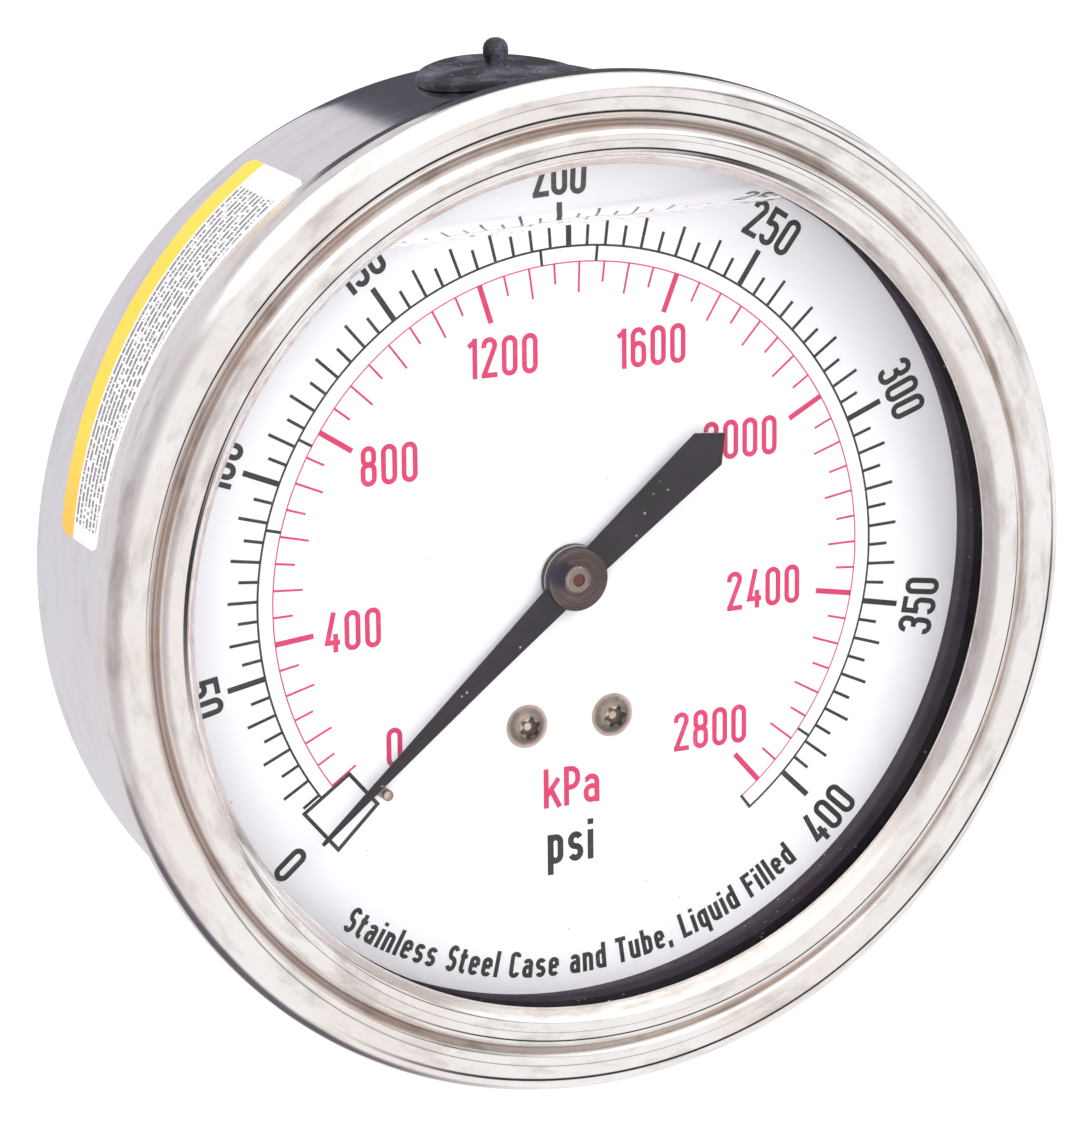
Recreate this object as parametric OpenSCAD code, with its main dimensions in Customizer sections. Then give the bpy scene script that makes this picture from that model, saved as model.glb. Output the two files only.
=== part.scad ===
// Back-connected dial pressure gauge, 100 mm class, liquid filled, with a C-shaped Bourdon tube.
// Millimetres. +Z is up (12 o'clock), the dial faces -Y, and the stem leaves towards +Y.
// The origin is the centre of the stem's free end.

/* [Case] */
// Outer diameter of the drawn case
case_d = 103.4; // [100:0.2:106]
// Distance from the front of the bezel to the back of the case
case_depth = 35.5; // [34:0.5:44]
// Sheet thickness of the case
case_wall = 0.8; // [0.6:0.1:1]
// Radius of the case's back corner
case_corner_r = 2.6; // [2:0.2:4]
// Widest diameter of the bezel
bezel_d = 110; // [108:0.5:114]
// Clear diameter of the opening in the bezel
opening_d = 90.9; // [88:0.1:92]
// Sheet thickness of the bezel
bezel_wall = 0.9; // [0.6:0.1:1]
// Thickness of the window
window_t = 2; // [1.5:0.25:2.5]

/* [Dial] */
// Depth of the dial's face behind the front of the bezel
dial_depth = 13; // [12:0.25:14]
// Thickness of the dial sheet
dial_t = 0.7; // [0.5:0.1:1]
// Diameter of the dial sheet
dial_d = 98; // [96:0.5:99]
// Half the distance between the two dial screws
dial_screw_x = 5; // [4.5:0.1:5.5]
// Drop of the dial screws below the centre
dial_screw_drop = 16; // [15.5:0.1:16.5]
// Angle of the pointer at rest against the stop pin, anticlockwise from 3 o'clock
rest_angle = 220; // [216:0.5:224]

/* [Pointer] */
// Length of the pointer from the centre to its tip
pointer_len = 39.2; // [34:0.2:41]
// Length of the pointer's tail
tail_len = 22.2; // [16:0.2:24]
// Width of the tail at its end
tail_w = 4.9; // [3:0.1:6]
// Height of the pointer's blade above the dial
pointer_height = 1.9; // [1.8:0.1:3.4]

/* [Movement] */
// Tooth module of the pinion and the sector
gear_module = 0.3; // [0.25:0.01:0.32]
// Number of teeth on the pinion
pinion_teeth = 12; // [12:1:14]
// Teeth on the sector's full circle
sector_teeth = 108; // [100:1:112]
// Direction of the sector's arbor from the pointer's axis
sector_angle = -57; // [-60:1:-54]
// Play between a tooth and its neighbours, along the pitch circle
backlash = 0.06; // [0.04:0.01:0.1]
// Length of the sector's tail
sector_tail = 7; // [6:0.5:8]
// Direction of the sector's tail at rest
sector_tail_angle = -60; // [-65:1:-55]

/* [Tube] */
// Radius of the Bourdon tube's centre line
tube_r = 32; // [30:0.5:33]
// Width of the tube along the gauge's axis
tube_w = 10; // [8:0.5:11]
// Thickness of the flattened tube
tube_t = 4; // [3:0.25:5]
// Wall of the tube
tube_wall = 0.6; // [0.4:0.1:0.8]
// Direction of the tube's fixed end
tube_start = 242; // [240:1:244]
// Direction of the tube's free end
tube_end_angle = -15; // [-17:1:-13]

/* [Stem] */
// Drop of the stem's axis below the pointer's axis
stem_drop = 30; // [28:0.5:31]
// Length of the threaded end
thread_len = 15; // [12:0.5:18]
// Outer diameter of the thread, a quarter-inch taper pipe size
thread_d = 13.2; // [13:0.1:13.7]
// Width across the wrench flats
wrench_w = 16; // [14:0.5:19]
// Length of the wrench flats
wrench_len = 9; // [7:0.5:11]
// Diameter of the pressure inlet
inlet_d = 5; // [3:0.5:6]

/* [Fill plug] */
// Diameter of the plug's head
plug_d = 17.6; // [14:0.2:19]
// Distance of the plug's centre behind the front of the bezel
plug_depth = 24.6; // [24:0.1:26]
// Angle of the plug from 12 o'clock, towards the label
plug_lean = 1.8; // [0:0.1:4]

/* [Hidden] */
$fn = 96;

steel = [0.80, 0.79, 0.80];
dull_steel = [0.62, 0.61, 0.60];
brass = [0.72, 0.58, 0.32];
bronze = [0.45, 0.38, 0.30];
black = [0.06, 0.06, 0.07];
white = [0.95, 0.95, 0.96];

// Depths behind the front of the bezel
lip_back = 3;
window_front = 4.4;
window_back = window_front + window_t;
gasket_t = 0.8;
flange_front = window_back + gasket_t;
flange_back = flange_front + case_wall;
skirt_end = 10.2;
dial_back = dial_depth + dial_t;
front_plate_front = 17;
front_plate_back = 18.2;
pinion_front = 19.4;
pinion_back = 21.6;
sector_front = 20;
sector_back = 20.9;
link_front = 21.2;
link_back = 22;
lug_front = 22.3;
lug_back = 23.2;
collet_front = 23.4;
collet_back = 25.4;
back_plate_front = 26.5;
back_plate_back = 27.7;
tube_mid = 22;
boss_front = 16.4;
case_inner_back = case_depth - case_wall;
stem_end = case_depth + 3 + wrench_len + thread_len;
front_y = -stem_end;
axis_z = stem_drop;

case_r = case_d / 2;
case_inner_r = case_r - case_wall;
bezel_r = bezel_d / 2;
opening_r = opening_d / 2;
flange_r = case_r + 1.5;
window_r = 50;
ring_r = 46.5;
gap = 0.05;

centre_distance = gear_module * (pinion_teeth + sector_teeth) / 2;
sector_pivot = polar(centre_distance, sector_angle);
tail_pin_at = sector_pivot + polar(sector_tail, sector_tail_angle);
tip_pin_angle = -24;
tip_pin_at = polar(tube_r, tip_pin_angle);
arbor_r = 0.9;
pin_r = 0.6;
pin_play = 0.2;
run_play = 0.04;

pillars = [[-10, -14], [9, 8.5], [3, -24.5]];
pillar_r = 2;
plate_r = 3;
movement_screw_at = [[-5.5, -21], [-4, -10]];
case_screw_at = [[-11, -38.5], [11, -38.5], [0, -16.4]];
case_screw_r = 2;
neck_r = 8.5;
seal_r = 11;
seal_t = 1.8;
boss = [-15, -43, 30, 15.4];
spine = [-9, -30, 18, 18];

stop_pin_r = 0.6;
stop_pin_at = polar(30.5, rest_angle) + polar(1.13, rest_angle + 90);
blade_t = 0.4;
blade_back = dial_depth - pointer_height;
blade_front = blade_back - blade_t;
hub_front = blade_front - 0.6;

hole_r = 6;
plug_head_r = plug_d / 2;
plug_top = case_r + 1.25;
label_t = 0.15;

// ---- helpers ----

function polar(r, a) = [r * cos(a), r * sin(a)];

function arc(centre, r, a0, a1, steps) =
    [for (i = [0 : steps]) centre + polar(r, a0 + (a1 - a0) * i / steps)];

// Polar angle between a point on an involute and its start on the base circle
function involute_angle(pressure) = tan(pressure) * 180 / PI - pressure;

// Half the angle of a tooth at radius r
function half_tooth(r, pitch_r, base_r, half) =
    half + involute_angle(acos(base_r / pitch_r)) - involute_angle(acos(min(1, base_r / r)));

// One tooth's outline, anticlockwise, centred on direction a
function tooth(a, pitch_r, root_r, tip_r, half) =
    let (
        base_r = pitch_r * cos(20),
        radii = [for (i = [0 : 5]) root_r + (tip_r - root_r) * i / 5]
    )
    concat(
        [for (i = [0 : 5]) polar(radii[i], a - half_tooth(radii[i], pitch_r, base_r, half))],
        [for (i = [5 : -1 : 0]) polar(radii[i], a + half_tooth(radii[i], pitch_r, base_r, half))]
    );

// A turned piece: points are [radius, depth], turned about an axis through at
module turned(points, at = [0, 0]) {
    translate([at[0], front_y, axis_z + at[1]])
        rotate([-90, 0, 0])
            rotate_extrude($fn = 180)
                polygon(points);
}

// A cylinder along the gauge's axis between two depths
module rod(at, d0, d1, r) {
    translate([at[0], front_y + d0, axis_z + at[1]])
        rotate([-90, 0, 0])
            cylinder(h = d1 - d0, r = r);
}

// A flat piece: children are drawn as seen from the front, between two depths
module sheet(d0, d1) {
    translate([0, front_y + d1, axis_z])
        rotate([90, 0, 0])
            linear_extrude(d1 - d0)
                children();
}

module disc(at, r) {
    translate(at)
        circle(r);
}

// A straight bar with round ends, from a to b
module bar(a, b, r) {
    span = b - a;
    disc(a, r);
    disc(b, r);
    translate(a)
        rotate(atan2(span[1], span[0]))
            translate([0, -r])
                square([norm(span), 2 * r]);
}

// A stretch of ring: children are [radius, offset] profiles, between two directions
module swept(a0, a1) {
    translate([0, front_y + tube_mid, axis_z])
        rotate([90, 0, 0])
            rotate([0, 0, a0])
                rotate_extrude(angle = a1 - a0)
                    translate([tube_r, 0])
                        children();
}

module tube_section(grow = 0) {
    half = tube_w / 2 - tube_t / 2;
    disc([0, half], tube_t / 2 + grow);
    disc([0, -half], tube_t / 2 + grow);
    square([tube_t + 2 * grow, 2 * half], center = true);
}

// ---- case and window ----

// Turns the fill plug and its hole about the gauge's axis
module leaning() {
    translate([0, 0, axis_z])
        rotate([0, -plug_lean, 0])
            translate([0, 0, -axis_z])
                children();
}

module case() {
    back_centre = [case_r - case_corner_r, case_depth - case_corner_r];
    color(steel)
        difference() {
            turned(concat(
                [[ring_r + 1.6, flange_front], [flange_r, flange_front], [flange_r, flange_back],
                 [case_r, flange_back + 0.4]],
                arc(back_centre, case_corner_r, 0, 90, 8),
                [[0, case_depth], [0, case_inner_back]],
                arc(back_centre, case_corner_r - case_wall, 90, 0, 8),
                [[case_inner_r, flange_back + 0.4], [ring_r + 1.6, flange_back + 0.4]]
            ));
            leaning()
                translate([0, front_y + plug_depth, axis_z])
                    cylinder(h = case_d, r = hole_r);
            rod([0, -stem_drop], case_inner_back - 1, case_depth + 1, neck_r + gap);
            for (at = case_screw_at)
                rod(at, case_inner_back - 1, case_depth + 1, case_screw_r + 0.2);
        }
}

// Outer outline of the bezel, from the lip over both beads and down the skirt
function bezel_outside() = concat(
    [[opening_r, lip_back - bezel_wall]],
    arc([opening_r + 2.4, 2.1], 2.1, 200, 312, 10),
    arc([opening_r + 4.95, 0.95], 0.6, 150, 60, 5),
    arc([bezel_r - 2.7, 3.7], 2.7, 243, 360, 12),
    [[bezel_r, 5.2], [flange_r + 0.7, skirt_end - 0.9], [flange_r + 0.2, skirt_end - 0.1],
     [case_r + 0.1, skirt_end], [opening_r, skirt_end]]
);

// Room under the bezel's sheet for the window, the gasket and the case's flange
function bezel_inside() = concat(
    [[opening_r - 1, skirt_end + 1], [opening_r - 1, lip_back],
     [opening_r + 0.8, lip_back]],
    arc([opening_r + 2.4, 2.1], 2.1 - bezel_wall, 200, 330, 8),
    [[opening_r + 4.95, 0.95 + 0.6 + bezel_wall]],
    arc([bezel_r - 2.7, 3.7], 2.7 - bezel_wall, 215, 360, 10),
    [[bezel_r - bezel_wall, 5], [flange_r + 0.1, flange_back - 0.3],
     [flange_r + 0.1, flange_back + 0.1], [case_r + 0.1, flange_back + 0.4],
     [case_r + 0.1, skirt_end + 1]]
);

module bezel_ring() {
    color(steel)
        translate([0, front_y, axis_z])
            rotate([-90, 0, 0])
                rotate_extrude($fn = 180)
                    difference() {
                        polygon(bezel_outside());
                        polygon(bezel_inside());
                    }
}

module window() {
    color([0.85, 0.92, 0.95, 0.3])
        rod([0, 0], window_front, window_back, window_r);
}

// Rubber ring: it wraps the window's edge between the lip and the case's flange, and its
// sleeve runs back to the dial
module window_gasket() {
    color(black)
        turned([
            [ring_r, window_back], [window_r + gap, window_back], [window_r + gap, window_front],
            [opening_r + 0.2, window_front], [opening_r + 0.2, lip_back],
            [window_r + 1.2, lip_back], [window_r + 1.2, flange_front],
            [ring_r + 1.2, flange_front], [ring_r + 1.2, dial_depth], [ring_r, dial_depth]
        ]);
}

// ---- dial ----

module dial() {
    color(white)
        sheet(dial_depth, dial_back)
            difference() {
                circle(dial_d / 2, $fn = 180);
                circle(2.6);
                for (x = [-dial_screw_x, dial_screw_x])
                    disc([x, -dial_screw_drop], 1.6);
                disc(stop_pin_at, stop_pin_r - 0.1);
            }
}

// Pan-head screw with a six-lobe recess
module dial_screw(x) {
    at = [x, -dial_screw_drop];
    head_h = 1.5;
    difference() {
        union() {
            turned([[0, dial_depth - head_h], [1.3, dial_depth - head_h], [1.9, dial_depth - 1.2],
                    [2.25, dial_depth - 0.6], [2.25, dial_depth], [0, dial_depth]], at);
            rod(at, dial_depth, front_plate_back, 1.5 - run_play);
        }
        sheet(dial_depth - head_h - 1, dial_depth - 0.5)
            translate(at) {
                circle(0.75);
                for (a = [0 : 60 : 300])
                    disc(polar(0.8, a), 0.26);
            }
    }
}

module dial_screws() {
    color(dull_steel)
        for (x = [-dial_screw_x, dial_screw_x])
            dial_screw(x);
}

module dial_spacers() {
    color(brass)
        for (x = [-dial_screw_x, dial_screw_x])
            difference() {
                rod([x, -dial_screw_drop], dial_back, front_plate_front, 2.6);
                rod([x, -dial_screw_drop], dial_back - 1, front_plate_front + 1, 1.6);
            }
}

module stop_pin() {
    color(dull_steel) {
        rod(stop_pin_at, blade_front - 0.5, dial_depth, stop_pin_r);
        rod(stop_pin_at, dial_depth, dial_back, stop_pin_r - 0.1);
        rod(stop_pin_at, dial_back, dial_back + 0.6, stop_pin_r + 0.4);
    }
}

// ---- pointer ----

module pointer() {
    half = tail_w / 2;
    color(black)
        sheet(blade_front, blade_back)
            difference() {
                rotate(rest_angle) {
                    polygon([[2.6, -1.6], [pointer_len - 6, -0.36], [pointer_len, 0],
                             [pointer_len - 6, 0.36], [2.6, 1.6]]);
                    polygon([[-2.6, 1.6], [half - tail_len, half], [-tail_len, 0],
                             [half - tail_len, -half], [-2.6, -1.6]]);
                    circle(3);
                }
                circle(1.45);
            }
}

// Turned boss riveted to the blade and pressed on the arbor
module pointer_hub() {
    color(bronze)
        turned([
            [0.6, hub_front - 0.3], [1.4, hub_front - 0.3], [1.5, hub_front],
            [3.3, hub_front], [3.5, hub_front + 0.15], [3.5, blade_front],
            [1.45, blade_front], [1.45, blade_back], [3.5, blade_back], [3.5, dial_depth - 0.5],
            [3.3, dial_depth - 0.3], [0.6, dial_depth - 0.3]
        ]);
}

// ---- movement ----

module pinion_arbor() {
    pitch_r = gear_module * pinion_teeth / 2;
    half = 90 / pinion_teeth - backlash / 4 / pitch_r * 180 / PI;
    pitch = 360 / pinion_teeth;
    color(brass) {
        rod([0, 0], hub_front, pinion_front, 0.6);
        rod([0, 0], front_plate_back + 0.2, pinion_front, 1.2);
        rod([0, 0], pinion_back, back_plate_front - 0.2, arbor_r);
        rod([0, 0], back_plate_front - 0.2, back_plate_back, 0.6);
        sheet(pinion_front, pinion_back)
            polygon([for (i = [0 : pinion_teeth - 1])
                each tooth(sector_angle + i * pitch, pitch_r, pitch_r - 0.95 * gear_module,
                           pitch_r + 0.9 * gear_module, half)]);
    }
}

module hairspring_collet() {
    color(brass)
        difference() {
            rod([0, 0], collet_front, collet_back, 1.9);
            rod([0, 0], collet_front - 1, collet_back + 1, arbor_r);
        }
}

spring_turns = 4.5;
spring_r0 = 1.9;
spring_r1 = 8.6;
spring_t = 0.16;
stud_angle = 135;
stud_at = polar(spring_r1 + 0.75, stud_angle);

function spring_r(f) = spring_r0 + (spring_r1 - spring_r0) * f;

function spring_angle(f) = stud_angle - 360 * spring_turns * (1 - f);

module hairspring() {
    steps = 144;
    color(bronze)
        sheet(24, 24.8)
            polygon(concat(
                [for (i = [0 : steps]) polar(spring_r(i / steps), spring_angle(i / steps))],
                [for (i = [steps : -1 : 0])
                    polar(spring_r(i / steps) + spring_t, spring_angle(i / steps))]
            ));
}

module hairspring_stud() {
    color(brass)
        difference() {
            rod(stud_at, 23.6, back_plate_back, 0.9);
            rod([0, 0], 23.9, 24.9, spring_r1 + spring_t + 0.02);
        }
}

// Toothed segment on a tapering arm, with a window to lighten it and a tail for the link
module sector_gear() {
    pitch_r = gear_module * sector_teeth / 2;
    root_r = pitch_r - 1.15 * gear_module;
    tip_r = pitch_r + 0.65 * gear_module;
    half = 90 / sector_teeth - backlash / 4 / pitch_r * 180 / PI;
    pitch = 360 / sector_teeth;
    facing = sector_angle + 180;
    first = -11;
    last = 1;
    a0 = facing + first * pitch;
    a1 = facing + (last + 1) * pitch;
    hub_r = 3;
    color(brass)
        sheet(sector_front, sector_back)
            difference() {
                union() {
                    translate(sector_pivot)
                        polygon(concat(
                            [polar(1.6, a1 + 60), polar(1.6, a0 - 60)],
                            [polar(root_r - 2.2, a0 - 0.4)],
                            [for (i = [first : last])
                                each tooth(facing + (i + 0.5) * pitch, pitch_r, root_r, tip_r, half)],
                            [polar(root_r - 2.2, a1 + 0.4)]
                        ));
                    disc(sector_pivot, hub_r);
                    bar(sector_pivot, tail_pin_at, 1.9);
                }
                translate(sector_pivot) {
                    circle(arbor_r);
                    polygon([polar(hub_r + 1.5, a0 + 14), polar(root_r - 2.4, a0 + 5),
                             polar(root_r - 2.4, a1 - 5), polar(hub_r + 1.5, a1 - 14)]);
                }
                disc(tail_pin_at, pin_r);
            }
}

module sector_arbor() {
    color(dull_steel) {
        rod(sector_pivot, front_plate_front, front_plate_back + 0.2, 0.6);
        rod(sector_pivot, front_plate_back + 0.2, back_plate_front - 0.2, arbor_r);
        rod(sector_pivot, back_plate_front - 0.2, back_plate_back, 0.6);
    }
}

module plate_outline() {
    hull() {
        for (at = pillars)
            disc(at, plate_r);
        disc(sector_pivot, plate_r);
        disc([dial_screw_x, -dial_screw_drop], plate_r);
        disc([-8, 5], plate_r);
    }
}

module front_plate() {
    color(brass)
        sheet(front_plate_front, front_plate_back)
            difference() {
                plate_outline();
                circle(0.6 + run_play);
                disc(sector_pivot, 0.6 + run_play);
                for (x = [-dial_screw_x, dial_screw_x])
                    disc([x, -dial_screw_drop], 1.5);
                for (at = pillars)
                    disc(at, 1.1);
            }
}

module back_plate() {
    color(brass)
        sheet(back_plate_front, back_plate_back)
            difference() {
                plate_outline();
                circle(0.6 + run_play);
                disc(sector_pivot, 0.6 + run_play);
                disc(stud_at, 0.9);
                for (at = pillars)
                    disc(at, 1);
                for (at = movement_screw_at)
                    disc(at, 1.6);
            }
}

module plate_pillars() {
    color(brass)
        for (at = pillars) {
            difference() {
                rod(at, front_plate_back, back_plate_front, pillar_r);
                rod(at, front_plate_back - 1, front_plate_back + 4, 1);
            }
            rod(at, back_plate_front, back_plate_back, 1);
        }
}

module plate_screws() {
    color(dull_steel)
        for (at = pillars)
            difference() {
                union() {
                    rod(at, front_plate_front - 1.2, front_plate_front, 1.9);
                    rod(at, front_plate_front, front_plate_back + 3.6, 1);
                }
                slot(at, front_plate_front - 1.2);
            }
}

// Screwdriver slot cut into a head whose face is at depth d
module slot(at, d) {
    sheet(d - 1, d + 0.6)
        translate(at)
            square([6, 0.5], center = true);
}

module movement_screws() {
    color(dull_steel)
        for (at = movement_screw_at)
            difference() {
                union() {
                    rod(at, back_plate_front - 1.2, back_plate_front, 2.4);
                    rod(at, back_plate_front, back_plate_back + 4, 1.5);
                }
                slot(at, back_plate_front - 1.2);
            }
}

// ---- tube and linkage ----

module link() {
    color(dull_steel)
        sheet(link_front, link_back)
            difference() {
                bar(tail_pin_at, tip_pin_at, 1.6);
                disc(tip_pin_at, pin_r + run_play);
                disc(tail_pin_at, pin_r + pin_play);
            }
}

// Shoulder pin riveted in the sector's tail; its head keeps the link on
module tail_pin() {
    color(dull_steel) {
        rod(tail_pin_at, sector_front, link_back + 0.3, pin_r);
        rod(tail_pin_at, link_back + 0.3, link_back + 0.8, 1.2);
    }
}

module tip_pin() {
    color(dull_steel) {
        rod(tip_pin_at, link_front - 0.8, link_front - 0.3, 1.2);
        rod(tip_pin_at, link_front - 0.3, lug_back, pin_r);
    }
}

// Brazed cap that closes the tube and carries the link's lug
module tube_end() {
    cap_w = tube_w + 1.6;
    cap_t = tube_t + 1.6;
    color(dull_steel) {
        difference() {
            swept(tube_end_angle - 3.5, tube_end_angle + 4)
                square([cap_t, cap_w], center = true);
            swept(tube_end_angle, tube_end_angle + 5)
                tube_section();
        }
        difference() {
            sheet(lug_front, lug_back)
                bar(tip_pin_at, polar(tube_r, tube_end_angle - 3), 2);
            rod(tip_pin_at, lug_front - 1, lug_back + 1, pin_r);
            swept(tube_end_angle - 3.5, tube_end_angle + 4)
                square([cap_t, cap_w], center = true);
        }
    }
}

module bourdon_tube() {
    color(dull_steel)
        difference() {
            swept(tube_end_angle, tube_start + 6)
                tube_section();
            swept(tube_end_angle - 1, tube_start + 7)
                tube_section(-tube_wall);
        }
}

// ---- socket and stem ----

module socket() {
    color(steel)
        difference() {
            union() {
                sheet(boss_front, case_inner_back)
                    translate([boss[0], boss[1]])
                        square([boss[2], boss[3]]);
                sheet(back_plate_back, case_inner_back)
                    translate([spine[0], spine[1]])
                        square([spine[2], spine[3]]);
                rod([0, -stem_drop], case_inner_back, case_depth + 3, neck_r);
                sheet(case_depth + 3, case_depth + 3 + wrench_len)
                    translate([-wrench_w / 2, -stem_drop - wrench_w / 2])
                        square(wrench_w);
                turned([[0, stem_end - thread_len], [thread_d / 2, stem_end - thread_len],
                        [thread_d / 2, stem_end], [0, stem_end]], [0, -stem_drop]);
            }
            rod([0, -stem_drop], 20, stem_end + 1, inlet_d / 2);
            translate([-16, front_y + tube_mid, axis_z - stem_drop])
                rotate([0, 90, 0])
                    cylinder(h = 17, r = 1.2);
            swept(tube_start - 4, tube_start + 6)
                tube_section(gap);
            turned([[neck_r, case_inner_back - seal_t], [seal_r, case_inner_back - seal_t],
                    [seal_r, case_inner_back + 1], [neck_r, case_inner_back + 1]],
                   [0, -stem_drop]);
            for (at = case_screw_at)
                rod(at, case_inner_back - 5, case_depth, case_screw_r - 0.3);
            for (at = movement_screw_at)
                rod(at, back_plate_back - 1, back_plate_back + 4.3, 1.5);
        }
}

module restrictor_screw() {
    color(brass)
        difference() {
            rod([0, -stem_drop], stem_end - 9, stem_end - 3, inlet_d / 2);
            rod([0, -stem_drop], stem_end - 10, stem_end, 0.4);
            slot([0, -stem_drop], stem_end - 3);
        }
}

module stem_seal() {
    color(black)
        turned([[neck_r, case_inner_back - seal_t], [seal_r, case_inner_back - seal_t],
                [seal_r, case_inner_back], [neck_r, case_inner_back]], [0, -stem_drop]);
}

module case_screws() {
    color(dull_steel)
        for (at = case_screw_at)
            difference() {
                union() {
                    rod(at, case_depth + 0.6, case_depth + 2.6, 3.2);
                    rod(at, case_inner_back - 4.5, case_depth + 0.6, case_screw_r - 0.3);
                }
                rod(at, case_depth + 1.6, case_depth + 3, 1.25, $fn = 6);
            }
}

module screw_washers() {
    color(black)
        for (at = case_screw_at)
            difference() {
                rod(at, case_depth, case_depth + 0.6, 3.4);
                rod(at, case_depth - 1, case_depth + 1, case_screw_r - 0.3);
            }
}

// ---- plug and label ----

module case_cylinder(r) {
    translate([0, front_y, axis_z])
        rotate([-90, 0, 0])
            cylinder(h = case_depth, r = r, $fn = 180);
}

// A turned piece standing on the case at 12 o'clock: points are [radius, height above the axis]
module standing(points) {
    translate([0, front_y + plug_depth, axis_z])
        rotate_extrude()
            polygon(points);
}

module fill_plug() {
    pip_r = 1.35;
    pip_top = plug_top + 2.7;
    color(black)
        leaning() {
            difference() {
                standing(concat(
                    [[0, case_r - 4], [plug_head_r, case_r - 4], [plug_head_r, plug_top - 1],
                     [plug_head_r - 0.25, plug_top - 0.6], [plug_head_r - 1, plug_top - 0.35],
                     [plug_head_r - 5, plug_top], [pip_r, plug_top]],
                    [[pip_r, pip_top - 1.1], [pip_r * 0.85, pip_top - 0.55],
                     [pip_r * 0.5, pip_top - 0.1], [0, pip_top]]
                ));
                case_cylinder(case_r + 0.02);
            }
            intersection() {
                standing([[0, case_r - 4], [hole_r - 0.1, case_r - 4],
                          [hole_r - 0.1, case_r + 0.4], [0, case_r + 0.4]]);
                case_cylinder(case_r + 0.1);
            }
            intersection() {
                standing([[0, case_r - 4.4], [hole_r + 1, case_r - 4.4], [hole_r + 1, case_r],
                          [0, case_r]]);
                case_cylinder(case_inner_r - 0.02);
            }
        }
}

module label() {
    color([0.95, 0.82, 0.2])
        translate([0, front_y + 26, axis_z])
            rotate([90, 0, 0])
                rotate([0, 0, 122])
                    rotate_extrude(angle = 50, $fn = 180)
                        translate([case_r + 0.02, 0])
                            square([label_t, 11]);
}

case();
bezel_ring();
window();
window_gasket();
dial();
dial_screws();
dial_spacers();
stop_pin();
pointer();
pointer_hub();
pinion_arbor();
hairspring_collet();
hairspring();
hairspring_stud();
sector_gear();
sector_arbor();
tail_pin();
front_plate();
back_plate();
plate_pillars();
plate_screws();
movement_screws();
link();
tip_pin();
tube_end();
bourdon_tube();
socket();
restrictor_screw();
stem_seal();
case_screws();
screw_washers();
fill_plug();
label();
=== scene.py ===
"""Pressure gauge: the looks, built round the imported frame.

Lengths in the piece functions are millimetres in the gauge's own terms: x to the right and z up
from the pointer's axis, as seen from the front, and d the depth behind the front of the bezel.
"""

import math

import bmesh
import bpy
from mathutils import Matrix, Vector


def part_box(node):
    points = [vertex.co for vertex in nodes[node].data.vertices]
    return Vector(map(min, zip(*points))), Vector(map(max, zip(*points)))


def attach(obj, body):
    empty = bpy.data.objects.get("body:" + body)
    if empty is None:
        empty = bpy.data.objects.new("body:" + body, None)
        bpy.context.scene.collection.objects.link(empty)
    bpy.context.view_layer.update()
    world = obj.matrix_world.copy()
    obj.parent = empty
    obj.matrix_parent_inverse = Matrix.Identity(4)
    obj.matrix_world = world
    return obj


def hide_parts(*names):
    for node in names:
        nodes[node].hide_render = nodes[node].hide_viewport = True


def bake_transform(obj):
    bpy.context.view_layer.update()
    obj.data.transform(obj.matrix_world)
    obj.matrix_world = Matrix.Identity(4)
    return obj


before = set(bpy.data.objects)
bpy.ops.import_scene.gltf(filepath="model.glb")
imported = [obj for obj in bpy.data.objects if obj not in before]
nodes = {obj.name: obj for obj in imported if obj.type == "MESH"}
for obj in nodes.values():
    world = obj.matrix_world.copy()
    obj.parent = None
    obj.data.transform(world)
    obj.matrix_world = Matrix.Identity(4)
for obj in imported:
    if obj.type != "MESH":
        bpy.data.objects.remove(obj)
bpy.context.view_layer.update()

MM = 0.001
bezel_low, bezel_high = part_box("bezel_ring")
FRONT_Y = bezel_low.y
AXIS_Z = (bezel_low.z + bezel_high.z) / 2

# Depths and radii shared by several pieces
LIP_R = 45.45
LIP_D = 2.1
LIP_BACK = 2.55
WINDOW_FRONT = 4.4
WINDOW_BACK = 6.4
WINDOW_R = 49.95
DIAL_D = 13.0
DIAL_BACK = 13.7
DIAL_R = 49.0
CASE_R = 51.7
CASE_BACK = 35.5
CASE_WALL = 0.8
SLEEVE_R = 46.5
REST_ANGLE = 220.0
STEM_DROP = 30.0
PLUG_D = 24.6
PLUG_R = 8.6
PLUG_LEAN = 1.8
INK_T = 0.02
SCREW_X = 5.0
SCREW_Z = -16.0
SCREW_SHIFT = 0.3
HUB_FRONT = 10.0
LEVEL = 38.5
TILT = math.tan(math.radians(1.65))
CLIMB = 0.7


# ---- geometry helpers ----


def place(x, z, d):
    """A point in the row frame, in metres, from the gauge's own millimetres."""
    return Vector((x * MM, FRONT_Y + d * MM, AXIS_Z + z * MM))


def leaning(x, d, z):
    """A point beside the filling plug, whose own axis leans a little towards the label."""
    lean = math.radians(PLUG_LEAN)
    return place(x * math.cos(lean) - z * math.sin(lean), x * math.sin(lean) + z * math.cos(lean), d)


def polar(r, degrees):
    a = math.radians(degrees)
    return (r * math.cos(a), r * math.sin(a))


def arc(centre, r, a0, a1, steps):
    """Points of an arc from a0 to a1 degrees, both ends included."""
    points = []
    for i in range(steps + 1):
        x, y = polar(r, a0 + (a1 - a0) * i / steps)
        points.append((centre[0] + x, centre[1] + y))
    return points


def shade(mesh, angle=35):
    """Smooth shading, with edges kept sharp above an angle in degrees."""
    for polygon in mesh.polygons:
        polygon.use_smooth = True
    mesh.set_sharp_from_angle(angle=math.radians(angle))


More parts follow.
